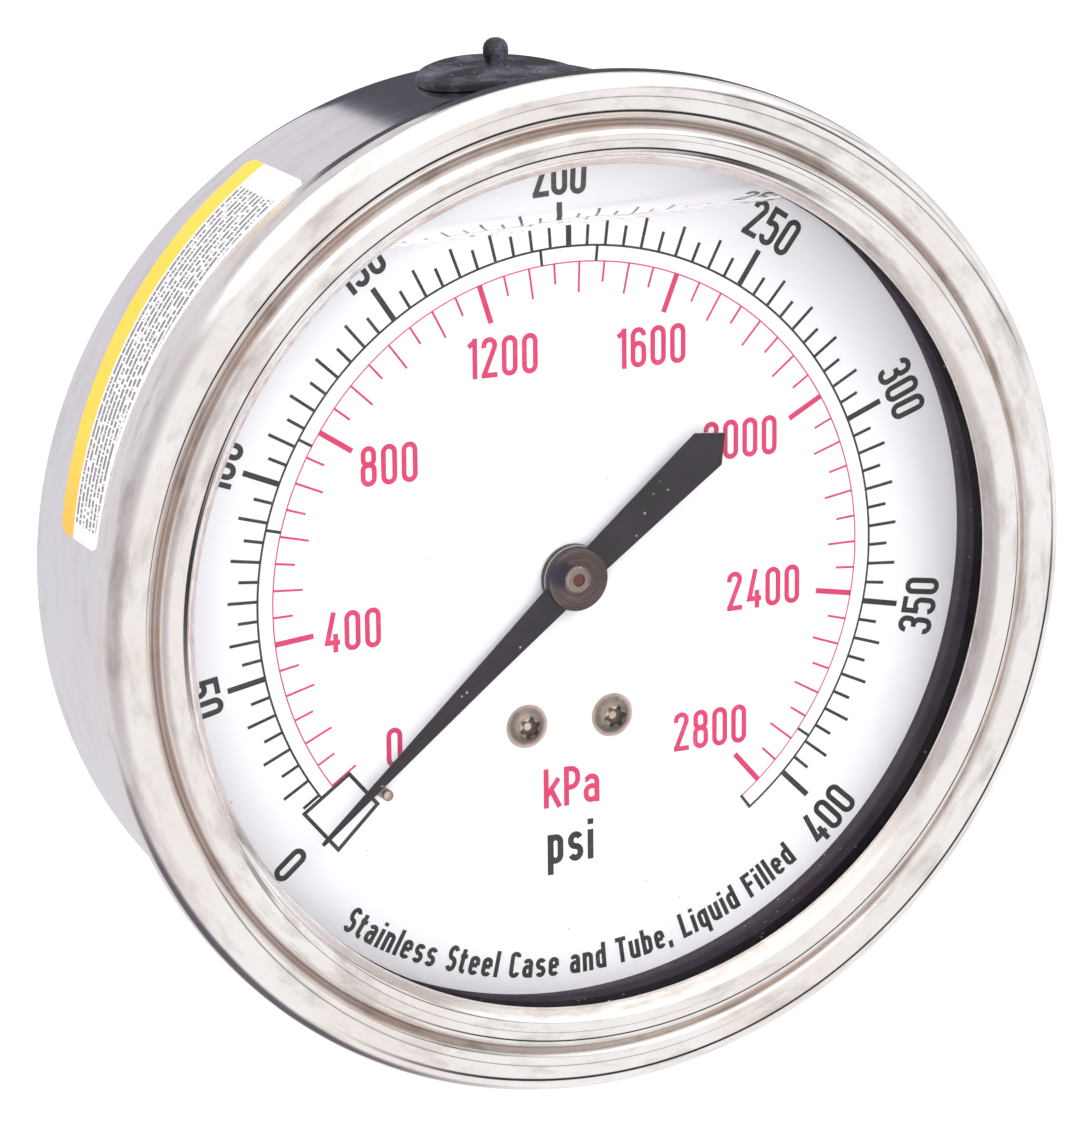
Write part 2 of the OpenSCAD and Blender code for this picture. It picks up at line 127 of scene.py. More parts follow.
def finish_mesh(bm, name, smooth_angle=35):
    bmesh.ops.recalc_face_normals(bm, faces=bm.faces)
    mesh = bpy.data.meshes.new(name)
    bm.to_mesh(mesh)
    bm.free()
    shade(mesh, smooth_angle)
    piece = bpy.data.objects.new(name, mesh)
    bpy.context.scene.collection.objects.link(piece)
    return piece


def add_walls(bm, rings):
    """Faces between each ring of points and the next; a ring may be a single point."""
    for a, b in zip(rings, rings[1:]):
        count = max(len(a), len(b))
        if count == 1:
            continue
        for i in range(count):
            j = (i + 1) % count
            corners = [a[i % len(a)], a[j % len(a)], b[j % len(b)], b[i % len(b)]]
            bm.faces.new(list(dict.fromkeys(corners)))


def add_turned(bm, outline, segments, centre=(0, 0), at=place):
    """Turns a closed outline of (radius, depth) about an axis through centre."""
    rings = []
    for r, d in outline:
        ring = []
        for i in range(segments if r > 1e-6 else 1):
            x, z = polar(r, 360 * i / segments)
            ring.append(bm.verts.new(at(centre[0] + x, centre[1] + z, d)))
        rings.append(ring)
    add_walls(bm, rings + rings[:1])


def turned(name, outline, segments=256, centre=(0, 0), smooth_angle=35):
    bm = bmesh.new()
    add_turned(bm, outline, segments, centre)
    return finish_mesh(bm, name, smooth_angle)


def add_sheet(bm, outline, d0, d1):
    """A flat piece between two depths, from an outline of (x, z)."""
    front = [bm.verts.new(place(x, z, d0)) for x, z in outline]
    back = [bm.verts.new(place(x, z, d1)) for x, z in outline]
    bm.faces.new(front)
    bm.faces.new(back)
    add_walls(bm, [front, back])


def strip(name, sections):
    """A closed piece through a row of sections, each a ring of points of (x, z, d)."""
    bm = bmesh.new()
    rings = [[bm.verts.new(place(*point)) for point in section] for section in sections]
    add_walls(bm, rings)
    bm.faces.new(rings[0])
    bm.faces.new(rings[-1])
    return finish_mesh(bm, name)


def smooth_outline(points, step, passes):
    """The outline at an even spacing, with its corners eased by repeated averaging."""
    dense = []
    for a, b in zip(points, points[1:] + points[:1]):
        span = math.dist(a, b)
        count = max(1, round(span / step))
        for i in range(count):
            f = i / count
            dense.append((a[0] + (b[0] - a[0]) * f, a[1] + (b[1] - a[1]) * f))
    for _ in range(passes):
        dense = [
            tuple((p + 2 * c + n) / 4 for p, c, n in zip(before, here, after))
            for before, here, after in zip(dense[-1:] + dense[:-1], dense, dense[1:] + dense[:1])
        ]
    return dense


def cut(piece, *tools):
    """Cuts the tools out of the piece and removes them."""
    for tool in tools:
        modifier = piece.modifiers.new("cut", "BOOLEAN")
        modifier.operation = "DIFFERENCE"
        modifier.solver = "EXACT"
        modifier.object = tool
    evaluated = piece.evaluated_get(bpy.context.evaluated_depsgraph_get())
    mesh = bpy.data.meshes.new_from_object(evaluated)
    piece.modifiers.clear()
    piece.data = mesh
    for tool in tools:
        bpy.data.objects.remove(tool)
    shade(mesh)
    return piece


def fit_out(piece, body, material, stands_for=None):
    """Gives a finished piece its material, its body if it rides on one, and what it stands for."""
    piece.data.materials.clear()
    piece.data.materials.append(material)
    if body:
        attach(piece, body)
    if stands_for:
        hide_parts(stands_for)
    return piece


# ---- material helpers ----


class Nodes:
    """Short calls for making and joining the nodes of a tree."""

    def __init__(self, tree):
        self.tree = tree

    def node(self, kind, **settings):
        made = self.tree.nodes.new(kind)
        for key, value in settings.items():
            setattr(made, key, value)
        return made

    def link(self, source, target):
        self.tree.links.new(source, target)

    def feed(self, socket, value):
        if isinstance(value, bpy.types.NodeSocket):
            self.link(value, socket)
        else:
            socket.default_value = value

    def maths(self, operation, a, b=0.0, clamp=False):
        made = self.node("ShaderNodeMath", operation=operation, use_clamp=clamp)
        self.feed(made.inputs[0], a)
        self.feed(made.inputs[1], b)
        return made.outputs[0]

    def times(self, a, b):
        return self.maths("MULTIPLY", a, b)

    def over(self, value, limit):
        """1 where the value is greater than the limit, else 0."""
        return self.maths("GREATER_THAN", value, limit)

    def remap(self, value, low, high, out_low=0.0, out_high=1.0, curve="LINEAR"):
        made = self.node("ShaderNodeMapRange", interpolation_type=curve)
        numbers = (value, low, high, out_low, out_high)
        for key, number in zip(("Value", "From Min", "From Max", "To Min", "To Max"), numbers):
            self.feed(made.inputs[key], number)
        return made.outputs["Result"]

    def mix(self, fac, a, b, blend="MIX"):
        made = self.node("ShaderNodeMix", data_type="RGBA", blend_type=blend)
        for key, value in zip(("Factor", "A", "B"), (fac, a, b)):
            self.feed(made.inputs[key], value)
        return made.outputs["Result"]


class Shader(Nodes):
    """A material's node tree with the patterns that the finishes are made of."""

    def __init__(self, name, **values):
        self.material = bpy.data.materials.new(name)
        self.material.use_nodes = True
        super().__init__(self.material.node_tree)
        self.bsdf = self.tree.nodes["Principled BSDF"]
        self.output = self.tree.nodes["Material Output"]
        self.coords = self.node("ShaderNodeTexCoord").outputs["Object"]
        for key, value in values.items():
            self.bsdf.inputs[key.replace("_", " ")].default_value = value

    def paint(self, colour, rough):
        self.link(colour, self.bsdf.inputs["Base Color"])
        self.link(rough, self.bsdf.inputs["Roughness"])

    def xyz(self):
        """The three coordinates in metres, with z from the pointer's axis."""
        made = self.node("ShaderNodeSeparateXYZ")
        self.link(self.coords, made.inputs[0])
        return made.outputs["X"], made.outputs["Y"], self.maths("SUBTRACT", made.outputs["Z"], AXIS_Z)

    def depth(self):
        """The depth behind the bezel's front in metres."""
        return self.maths("SUBTRACT", self.xyz()[1], FRONT_Y)

    def length(self, x, z):
        return self.maths("SQRT", self.maths("ADD", self.times(x, x), self.times(z, z)))

    def noise(self, scale, detail=3.0, roughness=0.55, vector=None, w=None, distortion=0.0):
        made = self.node("ShaderNodeTexNoise")
        if w is not None:
            made.noise_dimensions = "4D"
            self.feed(made.inputs["W"], w)
        self.link(vector or self.coords, made.inputs["Vector"])
        names = ("Scale", "Detail", "Roughness", "Distortion")
        for key, value in zip(names, (scale, detail, roughness, distortion)):
            made.inputs[key].default_value = value
        return made.outputs["Fac"]

    def dust(self, colour, scale, size, patch_scale, patch_limit, strength, tint):
        """Small round specks at the centres of scattered cells, kept to patches."""
        made = self.node("ShaderNodeTexVoronoi")
        self.link(self.coords, made.inputs["Vector"])
        made.inputs["Scale"].default_value = scale
        spot = self.maths("LESS_THAN", made.outputs["Distance"], size)
        spot = self.times(spot, self.over(self.noise(patch_scale, 1.0), patch_limit))
        return self.mix(self.times(spot, strength), colour, tint)

    def streaks(self, across, along, detail, roughness, drop=0.0):
        """Marks that run round an axis along Y, drop millimetres below the pointer's."""
        x, y, z = self.xyz()
        z = self.maths("ADD", z, drop * MM)
        r = self.length(x, z)
        joined = self.node("ShaderNodeCombineXYZ")
        self.link(self.times(r, across), joined.inputs["X"])
        self.link(self.times(y, across), joined.inputs["Y"])
        self.link(self.times(self.maths("DIVIDE", x, r), along), joined.inputs["Z"])
        turn = self.times(self.maths("DIVIDE", z, r), along)
        return self.noise(1.0, detail, roughness, joined.outputs[0], turn)

    def radius(self):
        """The distance from the gauge's axis in millimetres."""
        x, _, z = self.xyz()
        return self.maths("DIVIDE", self.length(x, z), MM)

    def band(self, value, low, high, fade):
        """1 between two values, with soft ends."""
        rising = self.remap(value, low - fade, low + fade)
        return self.times(rising, self.remap(value, high + fade, high - fade))

    def bump(self, height, strength, distance):
        """Adds a bump of up to distance metres over any bump already there."""
        made = self.node("ShaderNodeBump")
        made.inputs["Strength"].default_value = strength
        made.inputs["Distance"].default_value = distance
        self.link(height, made.inputs["Height"])
        normal = self.bsdf.inputs["Normal"]
        if normal.is_linked:
            self.link(normal.links[0].from_socket, made.inputs["Normal"])
        self.link(made.outputs["Normal"], normal)


def srgb(r, g, b):
    """Linear colour from 0-255 screen values."""
    channels = []
    for c in (r, g, b):
        c = c / 255
        channels.append(c / 12.92 if c <= 0.04045 else ((c + 0.055) / 1.055) ** 2.4)
    return (*channels, 1.0)


def toned(tint, r, g, b):
    return (tint[0] * r, tint[1] * g, tint[2] * b, 1.0)


def turned_steel(name, tint, roughness, streak=0.5, stain=0.5, drop=0.0, shade_bands=()):
    """Polished stainless with fine marks that run round the axis, and faint handling stains.

    drop is how far the marks' axis lies below the pointer's. The bands are rings of painted shade, as in
    the groove, with a duller finish: low and high radius, fade, tone and added roughness.
    """
    s = Shader(name, Metallic=1.0)
    fine = s.streaks(9000, 2.5, 2.0, 0.6, drop)
    broad = s.streaks(1500, 5.0, 3.0, 0.6, drop)
    cloud = s.noise(55, 4.0, 0.6, distortion=0.6)
    smudge = s.noise(320, 3.0, 0.7)
    smear = s.streaks(420, 7.0, 4.0, 0.62, drop)
    dark = toned(tint, 0.82, 0.82, 0.82)
    warm = toned(tint, 0.93, 0.88, 0.85)
    colour = s.mix(s.remap(cloud, 0.42, 0.72, 0.0, stain), tint, warm)
    colour = s.mix(s.remap(smudge, 0.55, 0.8, 0.0, stain * 0.6), colour, dark)
    soiled = toned(warm, 0.68, 0.68, 0.68)
    colour = s.mix(s.remap(smear, 0.5, 0.68, 0.0, stain * 0.85), colour, soiled)
    rough = s.maths("ADD", s.remap(fine, 0.3, 0.7, roughness * 0.75, roughness * 1.2),
                    s.remap(cloud, 0.4, 0.75, 0.0, roughness * 0.5))
    for low, high, fade, tone, extra in shade_bands:
        # Painted shade: each band darkens the steel's colour and dulls its finish.
        share = s.band(s.radius(), low, high, fade)
        colour = s.mix(share, colour, (*tone, 1.0), "MULTIPLY")
        rough = s.maths("ADD", rough, s.times(share, extra))
    s.paint(colour, rough)
    s.bump(fine, 0.35 * streak, 2e-6)
    s.bump(broad, 0.25 * streak, 6e-6)
    return s.material


def plain_metal(name, tint, roughness, grain=900, tarnish=(0.5, 0.5, 0.5, 1.0), share=0.4):
    """Stamped or turned metal with a fine grain and patches of tarnish."""
    s = Shader(name, Metallic=1.0)
    patch = s.noise(140, 4.0, 0.6)
    fine = s.noise(grain * 6, 2.0, 0.5)
    colour = s.mix(s.remap(patch, 0.4, 0.75, 0.0, share), tint, tarnish)
    s.paint(colour, s.remap(fine, 0.3, 0.7, roughness * 0.8, roughness * 1.25))
    s.bump(fine, 0.3, 4e-6)
    return s.material


def rubber(name, tint, dust_share, dust_colour, roughness=0.62, sheen=0.2, inside=None):
    """Moulded black rubber with clouds of dust and a few pale specks.

    inside is the tint of the part that lies deeper than the window, so that one rubber shows a painted lit
    tone there and a painted shade tone in front of it.
    """
    s = Shader(name, Specular_IOR_Level=sheen)
    # Painted light and shade: a separate tint deeper than the window's back.
    if inside:
        tint = s.mix(s.over(s.depth(), WINDOW_BACK * MM), tint, inside)
    cloud = s.noise(160, 5.0, 0.65)
    grain = s.noise(5200, 2.0, 0.6)
    dusty = s.maths("MULTIPLY", s.remap(cloud, 0.46, 0.66), s.remap(grain, 0.3, 0.6), clamp=True)
    colour = s.mix(s.times(dusty, dust_share), tint, dust_colour)
    colour = s.dust(colour, 900, 0.11, 430, 0.56, 0.7, (0.55, 0.52, 0.55, 1.0))
    s.paint(colour, s.remap(dusty, 0, 1, roughness, min(0.95, roughness + 0.3)))
    s.bump(grain, 0.5, 2.0e-5)
    return s.material


def clear(name, ior, wetted):
    """Clear glass or liquid that lets lamp light straight through.

    wetted gives the share of the surface where window and liquid touch, from the depth and the
    height above the liquid's edge: light crosses there without a reflection.
    """
    s = Shader(name, Base_Color=(1, 1, 1, 1), Roughness=0.0, IOR=ior, Transmission_Weight=1.0)
    x, _, z = s.xyz()
    rise = s.maths("SUBTRACT", s.maths("SUBTRACT", z, (LEVEL + CLIMB) * MM), s.times(x, TILT))
    path = s.node("ShaderNodeLightPath")
    through = s.node("ShaderNodeBsdfTransparent")
    surface = s.bsdf.outputs[0]
    for share in (wetted(s, s.depth(), rise), path.outputs["Is Shadow Ray"]):
        mixed = s.node("ShaderNodeMixShader")
        s.link(share, mixed.inputs[0])
        s.link(surface, mixed.inputs[1])
        s.link(through.outputs[0], mixed.inputs[2])
        surface = mixed.outputs[0]
    s.link(surface, s.output.inputs["Surface"])
    return s.material


def window_wetted(s, depth, rise):
    return s.times(s.over(depth, (WINDOW_BACK - 0.1) * MM), s.maths("LESS_THAN", rise, 0.0))


def liquid_wetted(s, depth, rise):
    at_front = s.maths("LESS_THAN", depth, (WINDOW_BACK + 0.03) * MM)
    return s.times(at_front, s.maths("LESS_THAN", rise, 0.0001 * MM))


def enamel(name, tint):
    """White stoved enamel: a faint lavender shade, a trace of orange peel and odd dust specks."""
    s = Shader(name)
    cloud = s.noise(40, 3.0)
    colour = s.mix(s.remap(cloud, 0.3, 0.7), tint, toned(tint, 0.985, 0.985, 0.985))
    colour = s.dust(colour, 300, 0.035, 90, 0.55, 0.6, (0.25, 0.24, 0.26, 1.0))
    peel = s.noise(1800, 2.0)
    s.paint(colour, s.remap(peel, 0.3, 0.7, 0.32, 0.42))
    s.bump(peel, 0.15, 6e-6)
    return s.material


def ink(name, tint, worn):
    """Printed ink with a mottled edge-to-edge tone and tiny worn spots."""
    s = Shader(name)
    mottle = s.noise(2600, 3.0, 0.7)
    patch = s.noise(260, 2.0)
    colour = s.mix(s.times(s.remap(mottle, 0.5, 0.75), s.remap(patch, 0.4, 0.7)), tint, worn)
    s.paint(colour, s.remap(mottle, 0.3, 0.7, 0.4, 0.6))
    s.bump(mottle, 0.2, 5e-6)
    return s.material


def black_paint(name):
    """Satin black enamel on the pointer: slightly purple, with dust and hairline wear."""
    s = Shader(name, Specular_IOR_Level=0.3)
    patch = s.noise(190, 3.0)
    grain = s.noise(7000, 2.0, 0.6)
    colour = s.mix(s.remap(patch, 0.35, 0.7), srgb(27, 17, 29), srgb(17, 9, 20))
    colour = s.dust(colour, 1000, 0.13, 500, 0.57, 0.8, srgb(190, 185, 195))
    s.paint(colour, s.remap(grain, 0.3, 0.7, 0.57, 0.6))
    s.bump(grain, 0.05, 8e-6)
    return s.material


def bronze_hub(name):
    """Dark oxidised brass, turned, with a purple-blue patch to the upper left of the centre."""
    s = Shader(name, Metallic=1.0)
    rings = s.streaks(7500, 0.8, 3.0, 0.65)
    patch = s.noise(420, 2.0)
    blue = s.node("ShaderNodeVectorMath", operation="DISTANCE")
    s.link(s.coords, blue.inputs[0])
    blue.inputs[1].default_value = place(-2.0, 0.9, HUB_FRONT)
    near = s.maths("ADD", blue.outputs["Value"], s.times(patch, 0.9 * MM))
    colour = s.mix(s.remap(near, 2.2 * MM, 1.6 * MM), srgb(94, 79, 76), srgb(34, 26, 62))
    colour = s.mix(s.remap(rings, 0.38, 0.62, 0.0, 0.85), colour, srgb(46, 36, 38))
    s.paint(colour, s.remap(rings, 0.3, 0.7, 0.26, 0.4))
    s.bump(rings, 0.4, 8e-6)
    return s.material


def dial_screw_metal(name):
    """Brown-grey plated steel, with painted shade over the floor of each recess that leaves a bright
    painted highlight at its centre.
    """
    s = Shader(name, Metallic=1.0)
    x, _, z = s.xyz()
    side = s.maths("ABSOLUTE", s.maths("ADD", x, SCREW_SHIFT * MM))
    r = s.length(s.maths("SUBTRACT", side, SCREW_X * MM), s.maths("SUBTRACT", z, SCREW_Z * MM))
    sunk = s.remap(s.depth(), (DIAL_D - 1.35) * MM, (DIAL_D - 1.0) * MM)
    # Painted shade over the recess floor and lower walls; the centre stays bright as a painted highlight.
    painted_recess_shade = s.times(sunk, s.band(r, 0.42 * MM, 1.36 * MM, 0.08 * MM))
    patch = s.noise(330, 4.0, 0.6)
    fine = s.noise(5400, 2.0, 0.5)
    colour = s.mix(s.remap(patch, 0.4, 0.7, 0.0, 0.5), srgb(206, 190, 178), srgb(158, 138, 122))
    colour = s.mix(painted_recess_shade, colour, srgb(92, 76, 70))
    s.paint(colour, s.remap(fine, 0.3, 0.7, 0.34, 0.44))
    s.bump(fine, 0.1, 3e-6)
    return s.material


# The side label: its ends in degrees round the case, its edge nearest the dial and its rows of dashes
LABEL_START, LABEL_END = 122.0, 172.0
LABEL_FRONT = 15.0
ROW_PITCH = 1.0


def label_face(name, low, high):
    """Sticker in two fields: a yellow band on the stem's side, and white with rows of grey dashes."""
    s = Shader(name)
    x, y, z = s.xyz()
    depth = s.remap(y, FRONT_Y, FRONT_Y + 100 * MM, 0.0, 100.0)
    turn = s.times(s.maths("ARCTAN2", z, x), 180 / math.pi)
    slope = (low - high) / (LABEL_END - LABEL_START)
    edge = s.maths("ADD", high, s.times(s.maths("SUBTRACT", turn, LABEL_START), slope))
    inner = s.maths("SUBTRACT", edge, 3.6)
    yellow = s.over(depth, inner)
    row = s.maths("DIVIDE", s.maths("SUBTRACT", inner, depth), ROW_PITCH)
    line = s.maths("FRACT", row)
    on_line = s.times(s.over(line, 0.42), s.over(depth, LABEL_FRONT + 0.7))
    joined = s.node("ShaderNodeCombineXYZ")
    s.link(s.times(turn, 1.7), joined.inputs["X"])
    s.link(s.maths("FLOOR", row), joined.inputs["Y"])
    dashes = s.over(s.noise(1.25, 2.0, 0.8, joined.outputs[0]), 0.45)
    inset = s.times(s.over(turn, LABEL_START + 4), s.maths("LESS_THAN", turn, LABEL_END - 2))
    marks = s.times(s.times(on_line, dashes), inset)
    field = s.mix(s.times(marks, 0.85), srgb(250, 249, 250), srgb(96, 92, 100))
    tone = s.mix(s.remap(turn, 160.0, LABEL_END), srgb(253, 214, 60), srgb(254, 190, 50))
    colour = s.mix(yellow, field, tone)
    fade = s.noise(400, 3.0)
    colour = s.mix(s.remap(fade, 0.5, 0.8, 0.0, 0.12), colour, srgb(225, 220, 215))
    s.paint(colour, s.remap(fade, 0.3, 0.7, 0.35, 0.5))
    s.bump(fade, 0.1, 1e-5)
    return s.material


# ---- materials ----

# Rings of painted shade on the bezel: the inner cone under the lip, across the groove, and a darker line at
# the groove's bottom.
BEZEL_SHADE_BANDS = [
    (45.0, 46.4, 0.25, (0.82, 0.79, 0.775), 0.18),
    (49.6, 50.35, 0.35, (0.8, 0.76, 0.74), 0.1),
    (49.88, 50.08, 0.07, (0.5, 0.46, 0.45), 0.0),
]
steel_bezel = turned_steel("bezel_steel", srgb(248, 245, 243), 0.075, 0.4, 0.95, shade_bands=BEZEL_SHADE_BANDS)
steel_case = turned_steel("case_steel", srgb(242, 240, 244), 0.09, 0.35, 0.35)
steel_socket = turned_steel("socket_steel", srgb(214, 211, 208), 0.28, 1.0, 0.4, STEM_DROP)
steel_dial_screw = dial_screw_metal("dial_screw_metal")
steel_screw = plain_metal("screw_steel", srgb(182, 166, 156), 0.38, 900, srgb(130, 112, 100), 0.7)
steel_part = plain_metal("stamped_steel", srgb(205, 203, 202), 0.3, 700, srgb(170, 165, 158))
steel_tube = plain_metal("tube_steel", srgb(200, 196, 190), 0.32, 500, srgb(176, 150, 110))
brass = plain_metal("movement_brass", srgb(224, 196, 128), 0.28, 800, srgb(176, 140, 84))
spring_bronze = plain_metal("spring_bronze", srgb(206, 160, 104), 0.25, 900, srgb(150, 104, 66))
hub_bronze = bronze_hub("hub_bronze")
bright_washer = plain_metal("bright_washer", srgb(248, 246, 244), 0.35, 900, srgb(225, 222, 220), 0.3)
dull_hub = plain_metal("dull_hub", srgb(62, 52, 58), 0.5, 900, srgb(44, 36, 42))
collar_bronze = plain_metal("hub_collar", srgb(128, 112, 106), 0.3, 900, srgb(96, 82, 80))
arbor_end = plain_metal("arbor_end", srgb(112, 58, 46), 0.5, 900, srgb(84, 44, 36))
# Gasket: the near-black tint in front of the window's back is painted shade in the gap under the lip; the
# lighter inside tint paints the sleeve as lit.
gasket_black = rubber("gasket_black", srgb(6, 4, 6), 0.03, srgb(90, 80, 90), 0.6, 0.1, srgb(52, 40, 54))
plug_black = rubber("plug_black", srgb(34, 30, 38), 0.95, srgb(128, 122, 138), 0.5, 0.25)
seal_black = rubber("seal_black", srgb(34, 33, 35), 0.3, srgb(80, 78, 80))
glass = clear("window_glass", 1.44, window_wetted)
liquid_clear = clear("fill_liquid", 1.47, liquid_wetted)
dial_enamel = enamel("dial_enamel", srgb(247, 246, 250))
ink_black = ink("ink_black", srgb(14, 8, 12), srgb(84, 76, 82))
ink_red = ink("ink_red", srgb(204, 32, 92), srgb(226, 92, 136))
pointer_paint = black_paint("pointer_paint")


# ---- bezel, case and window ----


def bezel():
    outside = (
        [(LIP_R + 0.25, LIP_BACK), (LIP_R, LIP_BACK - 0.2), (LIP_R, LIP_D + 0.1)]
        + [(LIP_R + 0.15, LIP_D - 0.15), (46.2, 1.25), (46.75, 0.62)]
        + arc((48.1, 1.75), 1.62, 232, 358, 30)
        + [(49.78, 2.05), (49.98, 2.25), (50.18, 2.15)]
        + arc((52.3, 3.35), 2.7, 219, 355, 36)
        + [(55.0, 4.4), (55.0, 5.0), (53.9, 9.3), (53.4, 10.1), (51.8, 10.2)]
    )
    inside = [
        (51.8, 8.4), (53.3, 8.1), (53.3, 7.7), (54.1, 5.0), (53.6, 2.8), (52.3, 1.9),
        (51.2, 2.6), (50.0, 2.95), (49.0, 2.3), (48.1, 1.2), (47.0, 1.5), (46.5, LIP_BACK),
    ]
    piece = turned("bezel", smooth_outline(outside + inside, 0.15, 4), 256, smooth_angle=60)
    return fit_out(piece, "frame", steel_bezel, "bezel_ring")


def case():
    corner = (CASE_R - 2.6, CASE_BACK - 2.6)
    outline = (
        [(48.1, 7.2), (53.1, 7.2), (53.2, 7.3), (53.2, 7.9), (53.1, 8.0), (52.0, 8.2), (CASE_R, 8.6)]
        + [(CASE_R, 9 + 2 * i) for i in range(12)]
        + arc(corner, 2.6, 0, 90, 14)
        + [(49.0, CASE_BACK), (30, CASE_BACK), (10, CASE_BACK), (0, CASE_BACK)]
        + [(0, CASE_BACK - CASE_WALL), (48.9, CASE_BACK - CASE_WALL)]
        + arc(corner, 1.8, 90, 0, 10)
        + [(CASE_R - CASE_WALL, 31), (CASE_R - CASE_WALL, 8.4), (48.1, 8.4)]
    )
    piece = turned("case_shell", outline, 320)
    tools = [hole("fill_hole", 6.0, lambda x, z, d: leaning(x, PLUG_D + z, 45 + d), (0, 0), 0, 12)]
    tools.append(hole("stem_hole", 8.55, place, (0, -STEM_DROP), 33, 37))
    for x, z in ((-11, -38.5), (11, -38.5), (0, -16.4)):
        tools.append(hole("screw_hole", 2.2, place, (x, z), 33, 37))
    cut(piece, *tools)
    return fit_out(piece, "frame", steel_case, "case")


def hole(name, r, at, centre, d0, d1):
    """A cutting cylinder."""
    bm = bmesh.new()
    add_turned(bm, [(r, d0), (r, d1), (0, d1), (0, d0)], 64, centre, at)
    return finish_mesh(bm, name)


def window():
    outline = [
        (0, WINDOW_FRONT), (WINDOW_R - 0.25, WINDOW_FRONT), (WINDOW_R, WINDOW_FRONT + 0.25),
        (WINDOW_R, WINDOW_BACK - 0.25), (WINDOW_R - 0.25, WINDOW_BACK), (0, WINDOW_BACK),
    ]
    piece = turned("window_glass", outline, 256)
    return fit_out(piece, "frame", glass, "window")


def gasket():
    outline = (
        [(SLEEVE_R, WINDOW_BACK + 0.2), (SLEEVE_R + 0.2, WINDOW_BACK), (WINDOW_R + 0.1, WINDOW_BACK)]
        + [(WINDOW_R + 0.1, WINDOW_FRONT), (LIP_R + 0.2, WINDOW_FRONT), (LIP_R + 0.12, WINDOW_FRONT - 0.1)]
        + [(LIP_R + 0.12, LIP_BACK + 0.1), (LIP_R + 0.22, LIP_BACK), (51.2, LIP_BACK + 0.1), (51.2, 7.2)]
        + [(SLEEVE_R + 1.2, 7.2), (SLEEVE_R + 1.2, DIAL_D), (SLEEVE_R + 0.1, DIAL_D)]
        + [(SLEEVE_R, DIAL_D - 0.1), (SLEEVE_R, 10.5), (SLEEVE_R, 8)]
    )
    piece = turned("window_gasket_ring", outline, 256)
    return fit_out(piece, "frame", gasket_black, "window_gasket")


def liquid():
    """The filling: its outline is a circle cut by the surface, which rests a little off level."""
    r = SLEEVE_R + 0.3
    front = WINDOW_BACK + 0.02
    back = DIAL_D + 0.35
    columns = 220
    rows = 24

    def surface(x, d):
        near = min(d - front, back - 0.35 - d)
        wall = CLIMB * math.exp(-max(near, 0.0) / 0.7)
        ripple = 0.1 * math.sin(x * 0.45 + 1.2) * math.sin((d - front) * 0.5)
        return LEVEL + TILT * x + wall + ripple

    depths = [front + (back - front) * (0.5 - 0.5 * math.cos(math.pi * j / rows)) for j in range(rows + 1)]
    bm = bmesh.new()
    rings = []
    for i in range(columns + 1):
        x = -r + 2 * r * (0.5 - 0.5 * math.cos(math.pi * i / columns))
        reach = math.sqrt(max(0.0, r * r - x * x))
        section = [(x, min(surface(x, d), reach), d) for d in depths]
        section += [(x, -reach, d) for d in reversed(depths)]
        rings.append([bm.verts.new(place(*point)) for point in section])
    add_walls(bm, rings)
    bmesh.ops.remove_doubles(bm, verts=bm.verts, dist=1e-7)
    bmesh.ops.dissolve_degenerate(bm, edges=bm.edges, dist=1e-7)
    piece = finish_mesh(bm, "filling_liquid", 25)
    return fit_out(piece, "frame", liquid_clear)


# ---- dial ----


def dial():
    outline = [
        (2.6, DIAL_D), (20, DIAL_D), (40, DIAL_D), (DIAL_R - 0.1, DIAL_D), (DIAL_R, DIAL_D + 0.1),
        (DIAL_R, DIAL_BACK - 0.1), (DIAL_R - 0.1, DIAL_BACK), (2.6, DIAL_BACK),
    ]
    piece = turned("dial_plate", outline, 256)
    cut(piece, *[hole("screw_hole", 1.6, place, (x, SCREW_Z), 12, 15) for x in (-SCREW_X, SCREW_X)])
    return fit_out(piece, "frame", dial_enamel, "dial")


def line_on(bm, points, width, closed=False):
    """A printed line along points of (x, z) on the dial, with square ends."""
    top = DIAL_D - INK_T - 0.002 * (len(bm.faces) % 7)
    points = [p for i, p in enumerate(points) if not i or math.dist(p, points[i - 1]) > 1e-4]
    if closed and math.dist(points[0], points[-1]) < 1e-4:
        points = points[:-1]
    count = len(points)
    left, right = [], []
    for i, point in enumerate(points):
        before = points[i - 1] if i or closed else None
        after = points[(i + 1) % count] if i < count - 1 or closed else None
        normals = []
        for a, b in ((before, point), (point, after)):
            if a is None or b is None:
                continue
            dx, dz = b[0] - a[0], b[1] - a[1]
            span = math.hypot(dx, dz)
            normals.append((-dz / span, dx / span))
        nx = sum(n[0] for n in normals) / len(normals)
        nz = sum(n[1] for n in normals) / len(normals)
        square = max(0.2, nx * nx + nz * nz)
        nx, nz = nx / square * width / 2, nz / square * width / 2
        left.append((point[0] + nx, point[1] + nz))
        right.append((point[0] - nx, point[1] - nz))
    rows = []
    for (ax, az), (bx, bz) in zip(left, right):
        rows.append([
            bm.verts.new(place(ax, az, top)), bm.verts.new(place(bx, bz, top)),
            bm.verts.new(place(bx, bz, DIAL_D)), bm.verts.new(place(ax, az, DIAL_D)),
        ])
    if closed:
        rows.append(rows[0])
    else:
        bm.faces.new(rows[0])
        bm.faces.new(rows[-1])
    add_walls(bm, rows)


def radial(bm, angle, r0, r1, width):
    line_on(bm, [polar(r0, angle), polar(r1, angle)], width)


def ring_part(bm, r, a0, a1, width):
    steps = max(2, round(abs(a1 - a0) / 1.5))
    line_on(bm, arc((0, 0), r, a0, a1, steps), width)


# A letter is drawn in a box of height 1; w is the box's width and t the line's thickness, both as
# a share of the height.


